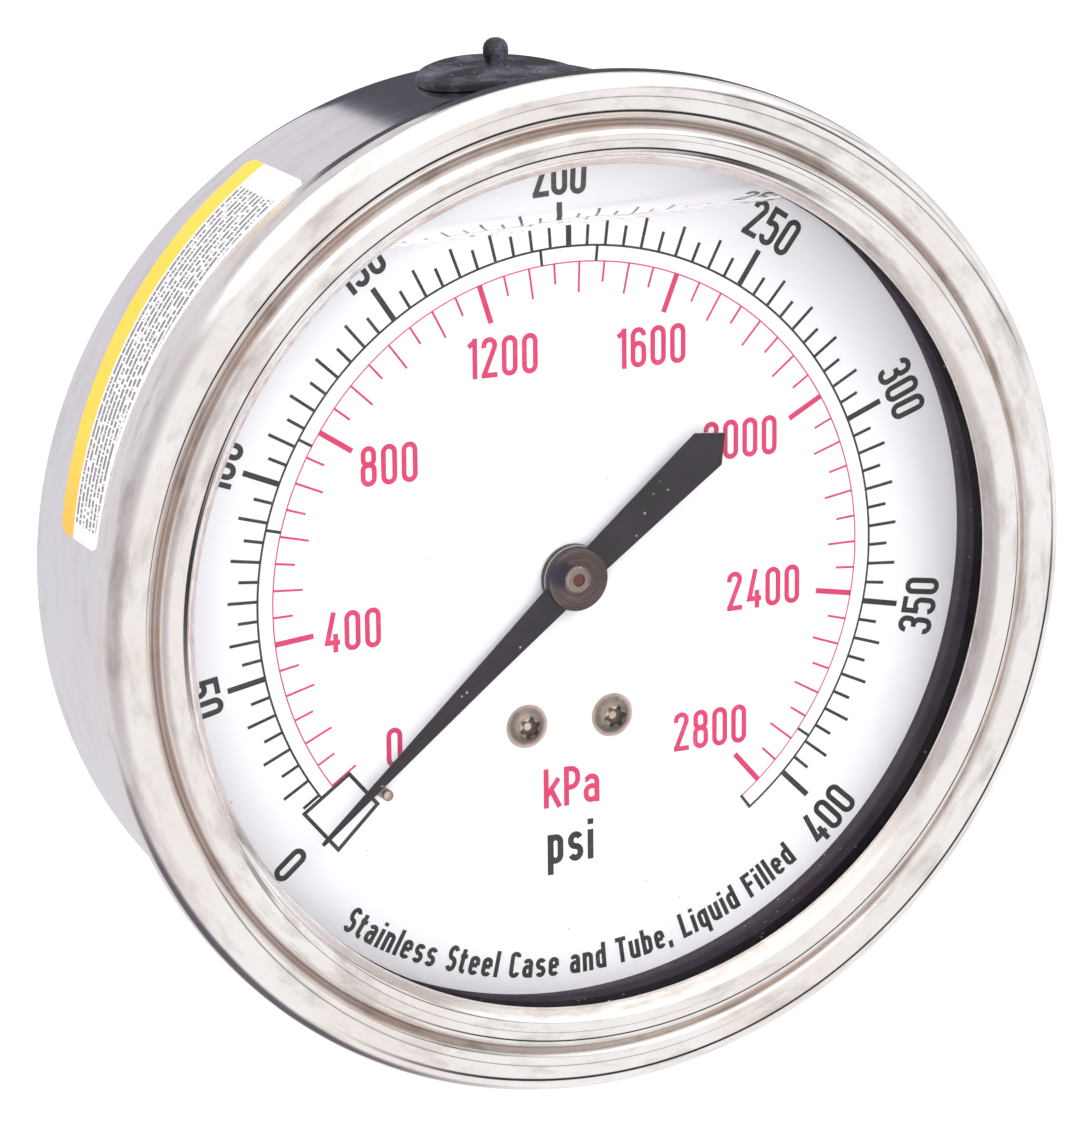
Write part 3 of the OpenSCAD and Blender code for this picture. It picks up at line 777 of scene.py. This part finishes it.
def half_round(cx, cy, rx, a0, a1, steps=10, ry=None):
    return [
        (cx + rx * math.cos(math.radians(a0 + (a1 - a0) * i / steps)),
         cy + (ry or rx) * math.sin(math.radians(a0 + (a1 - a0) * i / steps)))
        for i in range(steps + 1)
    ]


def oval(cx, r, low, high):
    return half_round(cx, high - r, r, 0, 180) + half_round(cx, low + r, r, 180, 360)


def glyphs(w, t):
    """Each letter's advance, its open lines and its closed lines."""
    lo, hi = t / 2, 1 - t / 2
    x0, x1 = t / 2, w - t / 2
    cx = w / 2
    rx = (x1 - x0) / 2
    xh = 0.735
    xt = xh - t / 2
    small = rx * 0.96
    post = [(x0, 0), (x0, 1)]
    stem, hook = 0.52 * w, 0.28 * w
    up, down = rx * 0.93, rx * 0.8
    table = {
        " ": (0.55 * w, [], []),
        ",": (t, [[(lo, t), (lo, -0.12)]], []),
        "0": (w, [], [oval(cx, rx, lo, hi)]),
        "1": (0.66 * w, [[(stem, 0), (stem, 1)], [(stem, 1 - t * 0.62), (stem - 0.17, 0.80)]], []),
        "2": (w, [[(x0, 0.74)] + half_round(cx, hi - rx, rx, 180, -20)
                  + [(x0 + 0.02, t * 0.9), (x0 + 0.005, t * 0.4)], [(0, lo), (w, lo)]], []),
        "3": (w, [[(x0, 0.76)] + half_round(cx, hi - rx, rx, 180, 0)
                  + half_round(cx - 0.02, 0.675, rx + 0.02, 0, -90, 6, 0.13) + [(cx - 0.06, 0.545)],
                  [(cx - 0.06, 0.545)] + half_round(cx - 0.02, 0.405, rx + 0.02, 90, 0, 6, 0.14)
                  + half_round(cx, lo + rx, rx, 0, -180) + [(x0, 0.24)]], []),
        "4": (w, [[(0.62 * w, 1), (x0 + 0.02, 0.245), (w, 0.245)], [(0.72 * w, 0.46), (0.72 * w, 0)]], []),
        "5": (w, [[(w, hi), (x0, hi), (x0, 0.50)], half_round(cx, 0.60 - rx, rx, 150, 0)
                  + half_round(cx, lo + rx, rx, 0, -180) + [(x0, 0.22)]], []),
        "6": (w, [[(x1, 0.78)] + half_round(cx, hi - rx, rx, 0, 180) + [(x0, 0.4)]],
              [oval(cx, rx, lo, 0.60)]),
        "8": (w, [], [half_round(cx, hi - up, up, 0, 180)
                      + half_round(cx, 0.545 + up * 0.8, up, 180, 360, 10, up * 0.8),
                      half_round(cx, 0.53 - down, rx, 0, 180, 10, down)
                      + half_round(cx, lo + rx, rx, 180, 360)]),
        "C": (w, [oval(cx, rx, lo, hi)], []),
        "F": (w * 0.95, [post, [(x0, hi), (w * 0.95, hi)], [(x0, 0.53), (w * 0.85, 0.53)]], []),
        "L": (w * 0.92, [post, [(x0, lo), (w * 0.92, lo)]], []),
        "P": (w, [post, [(x0, hi)] + half_round(x1 - 0.19, hi - 0.19, 0.19, 90, 0, 6)
                  + half_round(x1 - 0.19, 0.65, 0.19, 0, -90, 6) + [(x0, 0.46)]], []),
        "T": (w, [[(cx, 0), (cx, 1)], [(0, hi), (w, hi)]], []),
        "a": (w, [[(x0 + 0.01, 0.56)] + half_round(cx, xt - small, small, 170, 0) + [(x1, 0)],
                  [(x1, 0.40)] + half_round(cx, 0.42 - small, small, 70, 180, 6)
                  + half_round(cx, lo + small, small, 180, 270, 6) + [(x1, lo + 0.05)]], []),
        "e": (w, [half_round(cx, xt - small, small, 0, 180) + half_round(cx, lo + small, small, 180, 340),
                  [(x0, 0.38), (x1, 0.38)], [(x1, 0.38), (x1, xt - small)]], []),
        "i": (t, [[(lo, 0), (lo, xh)], [(lo, 0.86), (lo, 1.0)]], []),
        "k": (w * 1.05, [post, [(x0, 0.30), (w * 0.93, xh)], [(x0 + 0.32 * w, 0.44), (w * 0.98, 0.0)]], []),
        "l": (t, [[(lo, 0), (lo, 1)]], []),
        "n": (w, [[(x0, 0), (x0, xh)], half_round(cx, xt - small, small, 180, 0) + [(x1, 0)]], []),
        "t": (w * 0.72, [[(hook, 0.92), (hook, lo + 0.3)]
                         + half_round(hook + 0.12, lo + 0.12, 0.12, 180, 270, 5) + [(w * 0.66, lo)],
                         [(0, xt), (w * 0.66, xt)]], []),
        "u": (w, [[(x1, xh), (x1, 0)], [(x0, xh)] + half_round(cx, lo + small, small, 180, 360)], []),
    }
    for char in "bdpq":
        x = x0 if char in "bp" else x1
        low, high = (0, 1) if char in "bd" else (-0.26, xh)
        table[char] = (w, [[(x, low), (x, high)]], [oval(cx, small, lo, xt)])
    for char, top, wide in (("s", xt, small), ("S", hi, rx)):
        tall = (top - lo) / 4
        table[char] = (w, [half_round(cx, top - tall, wide, 25, 270, 14, tall)
                           + half_round(cx, lo + tall, wide, 90, -155, 14, tall)], [])
    return table


def lay_text(bm, text, height, w, t, space, at):
    """Draws a line of lettering; at places an offset from a letter's middle, given how far along it is."""
    table = glyphs(w, t)
    pen = -(sum(table[char][0] for char in text) + space * (len(text) - 1)) / 2
    for char in text:
        advance, lines, loops = table[char]
        middle = (pen + advance / 2) * height
        for points in lines + loops:
            moved = [at(middle, (x - advance / 2) * height, (y - 0.5) * height) for x, y in points]
            line_on(bm, moved, t * height, points in loops)
        pen += advance + space


def upright(bm, text, centre, height, w=0.415, t=0.126, space=0.115):
    """A line of upright lettering centred on a point of the dial."""
    lay_text(bm, text, height, w, t, space, lambda middle, u, v: (centre[0] + middle + u, centre[1] + v))


def curved(bm, text, angle, r, height, w=0.44, t=0.142, space=0.085, tops_in=False):
    """A line of lettering along a circle of radius r through the letters' middles."""
    sense = 1 if tops_in else -1

    def at(middle, u, v):
        turn = angle + sense * math.degrees(middle / r)
        ux, uz = polar(u, turn + 90 * sense)
        x, z = polar(r - sense * v, turn)
        return (x + ux, z + uz)

    lay_text(bm, text, height, w, t, space, at)


# Scales: 400 psi over 270 degrees, clockwise from 225; one psi is 6.89476 kPa
START = 225.0
PER_PSI = 270.0 / 400.0
PER_KPA = PER_PSI / 6.89476
BLACK_R = 35.63
RED_R = 33.93
BOX_LOW, BOX_HIGH = 215.7, 224.5
SCALE_END = -53.5


def black_print():
    bm = bmesh.new()
    ring_part(bm, BLACK_R, SCALE_END, BOX_LOW, 0.24)
    for psi in range(15, 401, 5):
        angle = START - PER_PSI * psi
        if psi % 50 == 0:
            radial(bm, angle, BLACK_R, 39.9, 0.62)
        elif psi % 10 == 0:
            radial(bm, angle, BLACK_R, 38.93, 0.34)
        else:
            radial(bm, angle, BLACK_R, 37.83, 0.34)
    for angle in (165.5, 149.4, 95.2, 84.7, -37.1):
        radial(bm, angle, RED_R, BLACK_R, 0.32)
    radial(bm, SCALE_END, RED_R - 0.1, BLACK_R + 0.12, 0.34)
    corners = [(31.75, BOX_LOW), (38.1, BOX_LOW), (38.1, BOX_HIGH), (31.75, BOX_HIGH)]
    line_on(bm, [polar(*corner) for corner in corners], 0.42, True)
    for psi in range(0, 401, 50):
        angle = START - PER_PSI * psi
        below = psi in (0, 50, 350, 400)
        turn = 220.2 if psi == 0 else angle
        curved(bm, str(psi), turn, 43.6 if psi == 400 else 42.75, 4.2, tops_in=below)
    upright(bm, "psi", (-0.32, -29.6), 4.55, 0.415, 0.152, 0.105)
    phrase = "Stainless Steel Case and Tube, Liquid Filled"
    curved(bm, phrase, 270, 43.2, 2.95, 0.42, 0.165, 0.1, tops_in=True)
    piece = finish_mesh(bm, "scale_psi")
    return fit_out(piece, "frame", ink_black)


def red_print():
    bm = bmesh.new()
    ring_part(bm, RED_R, SCALE_END, BOX_LOW, 0.15)
    for kpa in range(100, 2801, 50):
        angle = START - PER_KPA * kpa
        if kpa % 400 == 0:
            radial(bm, angle, RED_R - 4.3, RED_R, 0.6)
        elif kpa % 100 == 0:
            radial(bm, angle, RED_R - 3.3, RED_R, 0.24)
        else:
            radial(bm, angle, RED_R - 2.2, RED_R, 0.24)
    numbers = {
        "0": (-20.6, -16.3), "400": (-25.1, -2.9), "800": (-20.65, 14.45), "1200": (-7.7, 24.65),
        "1600": (9.45, 24.05), "2000": (20, 12.9), "2400": (22.8, -4.0), "2800": (16.4, -19.0),
    }
    for text, centre in numbers.items():
        upright(bm, text, centre, 4.35)
    upright(bm, "kPa", (-0.13, -23.3), 4.4, 0.435, 0.135, 0.085)
    piece = finish_mesh(bm, "scale_kpa")
    return fit_out(piece, "frame", ink_red)


def dial_screws():
    """Two pan heads with six-lobe recesses."""
    bm = bmesh.new()
    head = 1.5
    dome = (2.42 ** 2 + head ** 2) / (2 * head)
    outline = [(0, DIAL_D - head)]
    for i in range(1, 17):
        across, rise = polar(dome, 90 - i * math.degrees(math.asin(2.42 / dome)) / 16)
        outline.append((across, DIAL_D - head + dome - rise))
    outline.append((0, DIAL_D))
    for x in (-SCREW_X, SCREW_X):
        add_turned(bm, outline, 72, (x - SCREW_SHIFT, SCREW_Z))
        shank = [(0, DIAL_D - 0.05), (1.46, DIAL_D - 0.05), (1.46, 18.2), (0, 18.2)]
        add_turned(bm, shank, 32, (x, SCREW_Z))
    piece = finish_mesh(bm, "dial_screw_pair")
    tools = []
    for x, turn in ((-SCREW_X, 20), (SCREW_X, 5)):
        bm = bmesh.new()
        star = []
        for i in range(72):
            a = 360 * i / 72
            r = 1.06 + 0.19 * math.cos(math.radians(6 * (a - turn)))
            px, pz = polar(r, a)
            star.append((x - SCREW_SHIFT + px, SCREW_Z + pz))
        add_sheet(bm, star, DIAL_D - head - 0.5, DIAL_D - 0.2)
        tools.append(finish_mesh(bm, "recess"))
    cut(piece, *tools)
    return fit_out(piece, "frame", steel_dial_screw, "dial_screws")


def stop_pin():
    px, pz = polar(30.5, REST_ANGLE)
    ox, oz = polar(1.28, REST_ANGLE + 90)
    outline = [
        (0, 8.4), (0.35, 8.4), (0.52, 8.48), (0.6, 8.65), (0.6, DIAL_D - 0.25), (0.75, DIAL_D),
        (0.5, DIAL_D), (0.5, DIAL_BACK), (1.0, DIAL_BACK), (0.95, 14.2), (0, 14.3),
    ]
    piece = turned("pointer_stop", outline, 40, (px + ox, pz + oz))
    return fit_out(piece, "frame", steel_screw, "stop_pin")


# ---- pointer ----

BLADE_FRONT = 10.75
BLADE_T = 0.4
TIP = 39.05
TAIL = 22.2


def blade_bow(along):
    """How far the blade has bent forward at a place along it: both ends stand off the dial."""
    if along > 0:
        return 1.85 * (along / TIP) ** 1.3
    return 1.45 * (-along / TAIL) ** 1.3


def pointer_blade():
    """The blade is a row of eight-sided sections, narrow at the tip and broad at the tail."""
    half_widths = [
        (-TAIL, 0.04), (2.45 - TAIL, 2.45), (-2.4, 1.74), (2.4, 1.74), (12, 1.27),
        (TIP - 1.1, 0.25), (TIP - 0.06, 0.2), (TIP, 0.14),
    ]
    stations = []
    for (a, wa), (b, wb) in zip(half_widths, half_widths[1:]):
        steps = max(1, round((b - a) / 1.2))
        for i in range(steps):
            f = i / steps
            stations.append((a + (b - a) * f, wa + (wb - wa) * f))
    stations.append(half_widths[-1])
    ux, uz = polar(1, REST_ANGLE)
    sections = []
    for along, half in stations:
        ease = min(0.07, half * 0.5)
        front = BLADE_FRONT - blade_bow(along)
        back = front + BLADE_T
        section = [
            (half - ease, front), (half, front + ease), (half, back - ease), (half - ease, back),
            (ease - half, back), (-half, back - ease), (-half, front + ease), (ease - half, front),
        ]
        sections.append([(along * ux - across * uz, along * uz + across * ux, d) for across, d in section])
    piece = strip("pointer_blade", sections)
    cut(piece, hole("bore", 1.45, place, (0, 0), 8, 13))
    return fit_out(piece, "pointer", pointer_paint, "pointer")


def hub():
    """From the front: bronze disc, the blade's round boss, a bright washer and a thick disc."""
    front = HUB_FRONT
    disc = [
        (0.68, front), (1.6, front), (3.2, front), (3.35, front + 0.05),
        (3.42, front + 0.16), (3.42, front + 0.42), (3.36, front + 0.5), (1.45, front + 0.5),
        (1.45, 12.7), (0.68, 12.7),
    ]
    piece = turned("hub_boss", disc, 160)
    fit_out(piece, "pointer", hub_bronze, "pointer_hub")
    collar = [
        (0.68, front - 0.14), (1.2, front - 0.14), (1.45, front - 0.11), (1.62, front + 0.02),
        (0.68, front + 0.02),
    ]
    fit_out(turned("hub_collar", collar, 96), "pointer", collar_bronze)
    boss = [(1.5, front + 0.52), (3.4, front + 0.52), (3.48, front + 0.6), (3.48, 11.42), (1.5, 11.42)]
    fit_out(turned("blade_boss", boss, 160), "pointer", pointer_paint)
    washer = [(1.5, 11.44), (3.5, 11.44), (3.56, 11.5), (3.56, 11.56), (3.5, 11.62), (1.5, 11.62)]
    fit_out(turned("hub_washer", washer, 160), "pointer", bright_washer)
    thick = [(1.5, 11.64), (3.4, 11.64), (3.52, 11.72), (3.6, 12.6), (3.5, 12.7), (1.5, 12.7)]
    fit_out(turned("hub_back", thick, 160), "pointer", dull_hub)


# ---- plug and label ----


def fill_plug():
    """Saddle-shaped rubber head with a nipple: its rim follows the case."""
    bm = bmesh.new()
    segments = 160

    # radius, share of the way to the case's curve, height above it
    rows = [
        (5.9, 0, -4.2), (6.0, 0, -0.9), (PLUG_R - 0.35, 1.0, 0.03), (PLUG_R - 0.05, 1.0, 0.1),
        (PLUG_R, 1.0, 0.3), (PLUG_R - 0.02, 1.0, 0.6), (PLUG_R - 0.15, 1.0, 0.82),
        (PLUG_R - 0.45, 0.99, 0.92), (PLUG_R - 0.8, 0.97, 0.88), (PLUG_R - 1.3, 0.94, 0.72),
        (6.2, 0.9, 0.66), (4.6, 0.88, 0.7), (3.2, 0.86, 0.76), (2.2, 0.84, 0.8), (1.6, 0.8, 0.86),
        (1.32, 0.6, 0.95), (1.16, 0.4, 1.1), (1.12, 0.2, 1.35), (1.2, 0.1, 1.7), (1.32, 0, 2.05),
        (1.36, 0, 2.4), (1.34, 0, 2.95), (1.2, 0, 3.38), (0.95, 0, 3.68), (0.6, 0, 3.88),
        (0.3, 0, 3.96), (0, 0, 3.98),
    ]
    rings = []
    for r, share, height in rows:
        ring = []
        for i in range(segments if r else 1):
            x, y = polar(r, 360 * i / segments)
            base = CASE_R + (math.sqrt(CASE_R * CASE_R - x * x) - CASE_R) * share
            ring.append(bm.verts.new(leaning(x, PLUG_D + y, base + height)))
        rings.append(ring)
    add_walls(bm, rings)
    bm.faces.new(rings[0])
    piece = finish_mesh(bm, "rubber_fill_plug", 40)
    return fit_out(piece, "frame", plug_black, "fill_plug")


LABEL_LOW, LABEL_HIGH = 25.7, 30.0


def side_label():
    """Sticker wrapped on the case, with rounded corners; it sits a little askew."""
    bm = bmesh.new()
    columns, rows = 120, 24
    corner = 1.1
    lower, upper = [], []
    for i in range(columns + 1):
        f = i / columns
        turn = LABEL_START + (LABEL_END - LABEL_START) * f
        end = LABEL_HIGH + (LABEL_LOW - LABEL_HIGH) * f
        from_end = math.radians(min(turn - LABEL_START, LABEL_END - turn)) * CASE_R
        inset = corner - math.sqrt(max(0.0, corner ** 2 - (corner - min(from_end, corner)) ** 2))
        for j in range(rows + 1):
            d = LABEL_FRONT + inset + (end - LABEL_FRONT - 2 * inset) * j / rows
            for ring, r in ((lower, CASE_R + 0.01), (upper, CASE_R + 0.12)):
                x, z = polar(r, turn)
                ring.append(bm.verts.new(place(x, z, d)))
    step = rows + 1
    for i in range(columns):
        for j in range(rows):
            k = i * step + j
            bm.faces.new([upper[k], upper[k + step], upper[k + step + 1], upper[k + 1]])
            bm.faces.new([lower[k], lower[k + 1], lower[k + step + 1], lower[k + step]])
    border = ([i * step for i in range(columns + 1)]
              + [columns * step + j for j in range(1, rows + 1)]
              + [i * step + rows for i in range(columns - 1, -1, -1)]
              + [j for j in range(rows - 1, 0, -1)])
    add_walls(bm, [[lower[k] for k in border], [upper[k] for k in border]])
    piece = finish_mesh(bm, "side_label", 50)
    return fit_out(piece, "frame", label_face("label_face", LABEL_LOW, LABEL_HIGH), "label")


# ---- stem, hairspring and tube ----

THREAD_START = 47.5
THREAD_END = 62.5
THREAD_R = 6.6
THREAD_PITCH = 1.411
BORE_R = 2.5


def thread_radius(d, turn):
    """The taper thread's radius at a depth and an angle: it runs out at the flats and is chamfered."""
    phase = (d / THREAD_PITCH - turn / 360) % 1
    flank = min(1.0, max(0.0, (abs(phase - 0.5) * 2 - 0.14) / 0.72))
    depth = 1.0 * min(1.0, max(0.0, (d - THREAD_START - 0.4) / 2.2))
    crest = THREAD_R - (d - THREAD_START) / 32
    return min(crest - depth * flank, 5.2 + (THREAD_END - d))


def socket():
    """The socket from the CAD, with eased wrench flats and a cut taper thread on its stem."""
    centre = (0, -STEM_DROP)
    piece = bpy.data.objects.new("socket_block", nodes["socket"].data.copy())
    bpy.context.scene.collection.objects.link(piece)
    bm = bmesh.new()
    flats = [(9.3, 38.4), (10.9, 39.3), (10.9, 46.6), (9.3, 47.6), (14, 47.6), (14, 38.4)]
    add_turned(bm, flats, 96, centre)
    easing = finish_mesh(bm, "easing")
    cut(piece, easing, hole("pin_room", 9, place, centre, THREAD_START, THREAD_END + 2))
    bm = bmesh.new()
    bm.from_mesh(piece.data)
    segments, rows = 128, 172

    def ring(radius, d):
        turns = [360 * i / segments for i in range(segments)]
        points = [polar(radius(turn), turn) for turn in turns]
        return [bm.verts.new(place(x, z - STEM_DROP, d)) for x, z in points]

    rings = []
    for k in range(rows + 1):
        d = THREAD_START + (THREAD_END - THREAD_START) * k / rows
        rings.append(ring(lambda turn: thread_radius(d, turn), d if k else d - 0.4))
    for r, d in ((BORE_R + 0.5, THREAD_END), (BORE_R, THREAD_END - 0.5), (BORE_R, THREAD_START - 0.4)):
        rings.append(ring(lambda turn: r, d))
    add_walls(bm, rings + rings[:1])
    bpy.data.objects.remove(piece)
    piece = finish_mesh(bm, "socket_and_stem", 30)
    return fit_out(piece, "frame", steel_socket, "socket")


def bend(piece):
    """Bakes the piece's placement into its mesh."""
    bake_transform(piece)


def hairspring():
    """A flat strip wound outward from the collet to the stud."""
    turns, inner, outer, thick, steps = 4.5, 1.9, 8.6, 0.16, 480
    front, back, ease = 24.0, 24.8, 0.03
    sections, shares = [], []
    for i in range(steps + 1):
        f = i / steps
        r = inner + (outer - inner) * f
        angle = 135 - 360 * turns * (1 - f)
        section = []
        for dr, d in ((0, front + ease), (ease, front), (thick - ease, front), (thick, front + ease),
                      (thick, back - ease), (thick - ease, back), (ease, back), (0, back - ease)):
            section.append((*polar(r + dr, angle), d))
            shares.append(1 - f)
        sections.append(section)
    piece = strip("hairspring_strip", sections)
    fit_out(piece, None, spring_bronze, "hairspring")
    bend(piece)
    return piece


def bourdon_tube():
    """A flattened tube bent to a C: fixed in the socket at one end, and free at the other."""
    radius, middle, half, thick = 32.0, 22.0, 3.0, 2.0
    start, end, steps = 248.0, -15.0, 180
    outline = []
    for cx, a0 in ((half, -90), (-half, 90)):
        outline += [(y, x) for x, y in arc((cx, 0), thick, a0, a0 + 180, 14)]
    sections, shares = [], []
    for i in range(steps + 1):
        f = i / steps
        angle = start + (end - start) * f
        clear_of_socket = max(0.0, (f - 0.025) / 0.975)
        share = clear_of_socket * clear_of_socket * (3 - 2 * clear_of_socket)
        sections.append([(*polar(radius + across, angle), middle + along) for across, along in outline])
        shares += [share] * len(outline)
    piece = strip("c_tube", sections)
    fit_out(piece, None, steel_tube, "bourdon_tube")
    bend(piece)
    return piece


# ---- carried-over CAD pieces ----

CARRIED = (
    (arbor_end, ("pinion_arbor",)),
    (brass, ("dial_spacers", "hairspring_collet", "hairspring_stud", "sector_gear", "front_plate",
             "back_plate", "plate_pillars", "restrictor_screw")),
    (steel_part, ("sector_arbor", "tail_pin", "plate_screws", "movement_screws", "link", "tip_pin",
                  "tube_end")),
    (steel_screw, ("case_screws",)),
    (seal_black, ("stem_seal", "screw_washers")),
)


def dress_carried():
    for material, names in CARRIED:
        for name in names:
            mesh = nodes[name].data
            mesh.materials.clear()
            mesh.materials.append(material)


bezel()
case()
window()
gasket()
liquid()
dial()
black_print()
red_print()
dial_screws()
stop_pin()
pointer_blade()
hub()
fill_plug()
side_label()
socket()
hairspring()
bourdon_tube()
dress_carried()


# ---- stage, light and camera ----


def stage():
    bm = bmesh.new()
    size = 30.0
    bmesh.ops.create_grid(bm, x_segments=1, y_segments=1, size=size)
    bmesh.ops.translate(bm, verts=bm.verts, vec=(0, 0, -0.35))
    floor = finish_mesh(bm, "floor")
    paper = Shader("floor_paper", Base_Color=(0.97, 0.97, 0.97, 1), Roughness=0.9, Specular_IOR_Level=0.0)
    floor.data.materials.append(paper.material)
    floor.visible_glossy = False


def facing(azimuth, elevation):
    """The direction in front of the dial, turned by azimuth to the right and by elevation upward."""
    a, e = math.radians(azimuth), math.radians(elevation)
    return Vector((math.sin(a) * math.cos(e), -math.cos(a) * math.cos(e), math.sin(e)))


def world_light():
    """Soft white all round, with the seams and the darker rear of a tent that polished steel shows."""
    world = bpy.data.worlds.new("studio")
    bpy.context.scene.world = world
    world.use_nodes = True
    tree = Nodes(world.node_tree)
    background = world.node_tree.nodes["Background"]
    background.inputs["Strength"].default_value = 1.0
    direction = tree.node("ShaderNodeTexCoord").outputs["Generated"]

    def ramp(value, low, high):
        return tree.remap(value, low, high, curve="SMOOTHSTEP")

    def toward(azimuth, elevation):
        """Cosine of the angle from a direction."""
        made = tree.node("ShaderNodeVectorMath", operation="DOT_PRODUCT")
        tree.link(direction, made.inputs[0])
        made.inputs[1].default_value = facing(azimuth, elevation)
        return made.outputs["Value"]

    def seam(azimuth, elevation, width, strength, within):
        """A dark line: the plane square to one direction, kept to the part near another."""
        off = tree.maths("ABSOLUTE", toward(azimuth, elevation))
        line = ramp(off, width, width * 0.4)
        return tree.times(tree.times(line, strength), ramp(toward(*within[:2]), *within[2:]))

    shades = (
        (ramp(toward(-90, 0), 0.45, 0.98), (0.6, 0.57, 0.6)),
        (ramp(toward(180, 10), 0.2, 0.9), (0.74, 0.72, 0.75)),
        (ramp(toward(-150, -58), 0.8, 0.97), (0.16, 0.14, 0.17)),
        (ramp(toward(155, 12), 0.955, 0.962), (0.09, 0.09, 0.11)),
        (seam(0, 31.6, 0.16, 1.0, (65, -45, 0.72, 0.9)), (0.03, 0.03, 0.035)),
        (seam(0, -83, 0.05, 0.7, (48, 6, 0.8, 0.93)), (0.1, 0.1, 0.1)),
        (seam(0, -35, 0.12, 0.9, (35, 50, 0.5, 0.85)), (0.03, 0.03, 0.035)),
        (seam(52, 130, 0.03, 0.7, (70, 35, 0.75, 0.9)), (0.05, 0.05, 0.055)),
        (ramp(toward(0, 90), 0.55, 0.8), (1.5, 1.5, 1.5)),
    )
    colour = (0.97, 0.96, 0.965, 1)
    for share, tone in shades:
        colour = tree.mix(share, colour, (*tone, 1))
    path = tree.node("ShaderNodeLightPath")
    colour = tree.mix(path.outputs["Is Camera Ray"], colour, (1, 1, 1, 1))
    tree.link(colour, background.inputs["Color"])


def area(name, location, target, size, power):
    light = bpy.data.lights.new(name, "AREA")
    light.shape = "RECTANGLE"
    light.size, light.size_y = size
    light.energy = power
    lamp = bpy.data.objects.new(name, light)
    lamp.location = location
    lamp.visible_glossy = False
    lamp.rotation_mode = "QUATERNION"
    lamp.rotation_quaternion = (Vector(target) - Vector(location)).to_track_quat("-Z", "Y")
    bpy.context.scene.collection.objects.link(lamp)
    return lamp


def camera():
    back = facing(-24.19, 15.02)
    roll = math.radians(0.478)
    distance = 518.4 * MM
    target = place(-7.39, 4.73, 0)
    data = bpy.data.cameras.new("camera")
    data.sensor_width = 36.0
    data.lens = 160.09
    data.clip_start, data.clip_end = 0.01, 100.0
    viewer = bpy.data.objects.new("camera", data)
    viewer.rotation_mode = "QUATERNION"
    viewer.location = target + back * distance
    level = (-back).to_track_quat("-Z", "Y")
    viewer.rotation_quaternion = Matrix.Rotation(roll, 3, -back).to_quaternion() @ level
    bpy.context.scene.collection.objects.link(viewer)
    bpy.context.scene.camera = viewer


stage()
world_light()
area("key", (0.5, -1.2, 0.9), (0, 0, 0.03), (0.9, 0.9), 7.5)
area("front", (-0.6, -1.5, 0.05), (0, 0, 0.03), (1.4, 1.0), 10)
camera()
bpy.context.scene.view_settings.view_transform = "Standard"
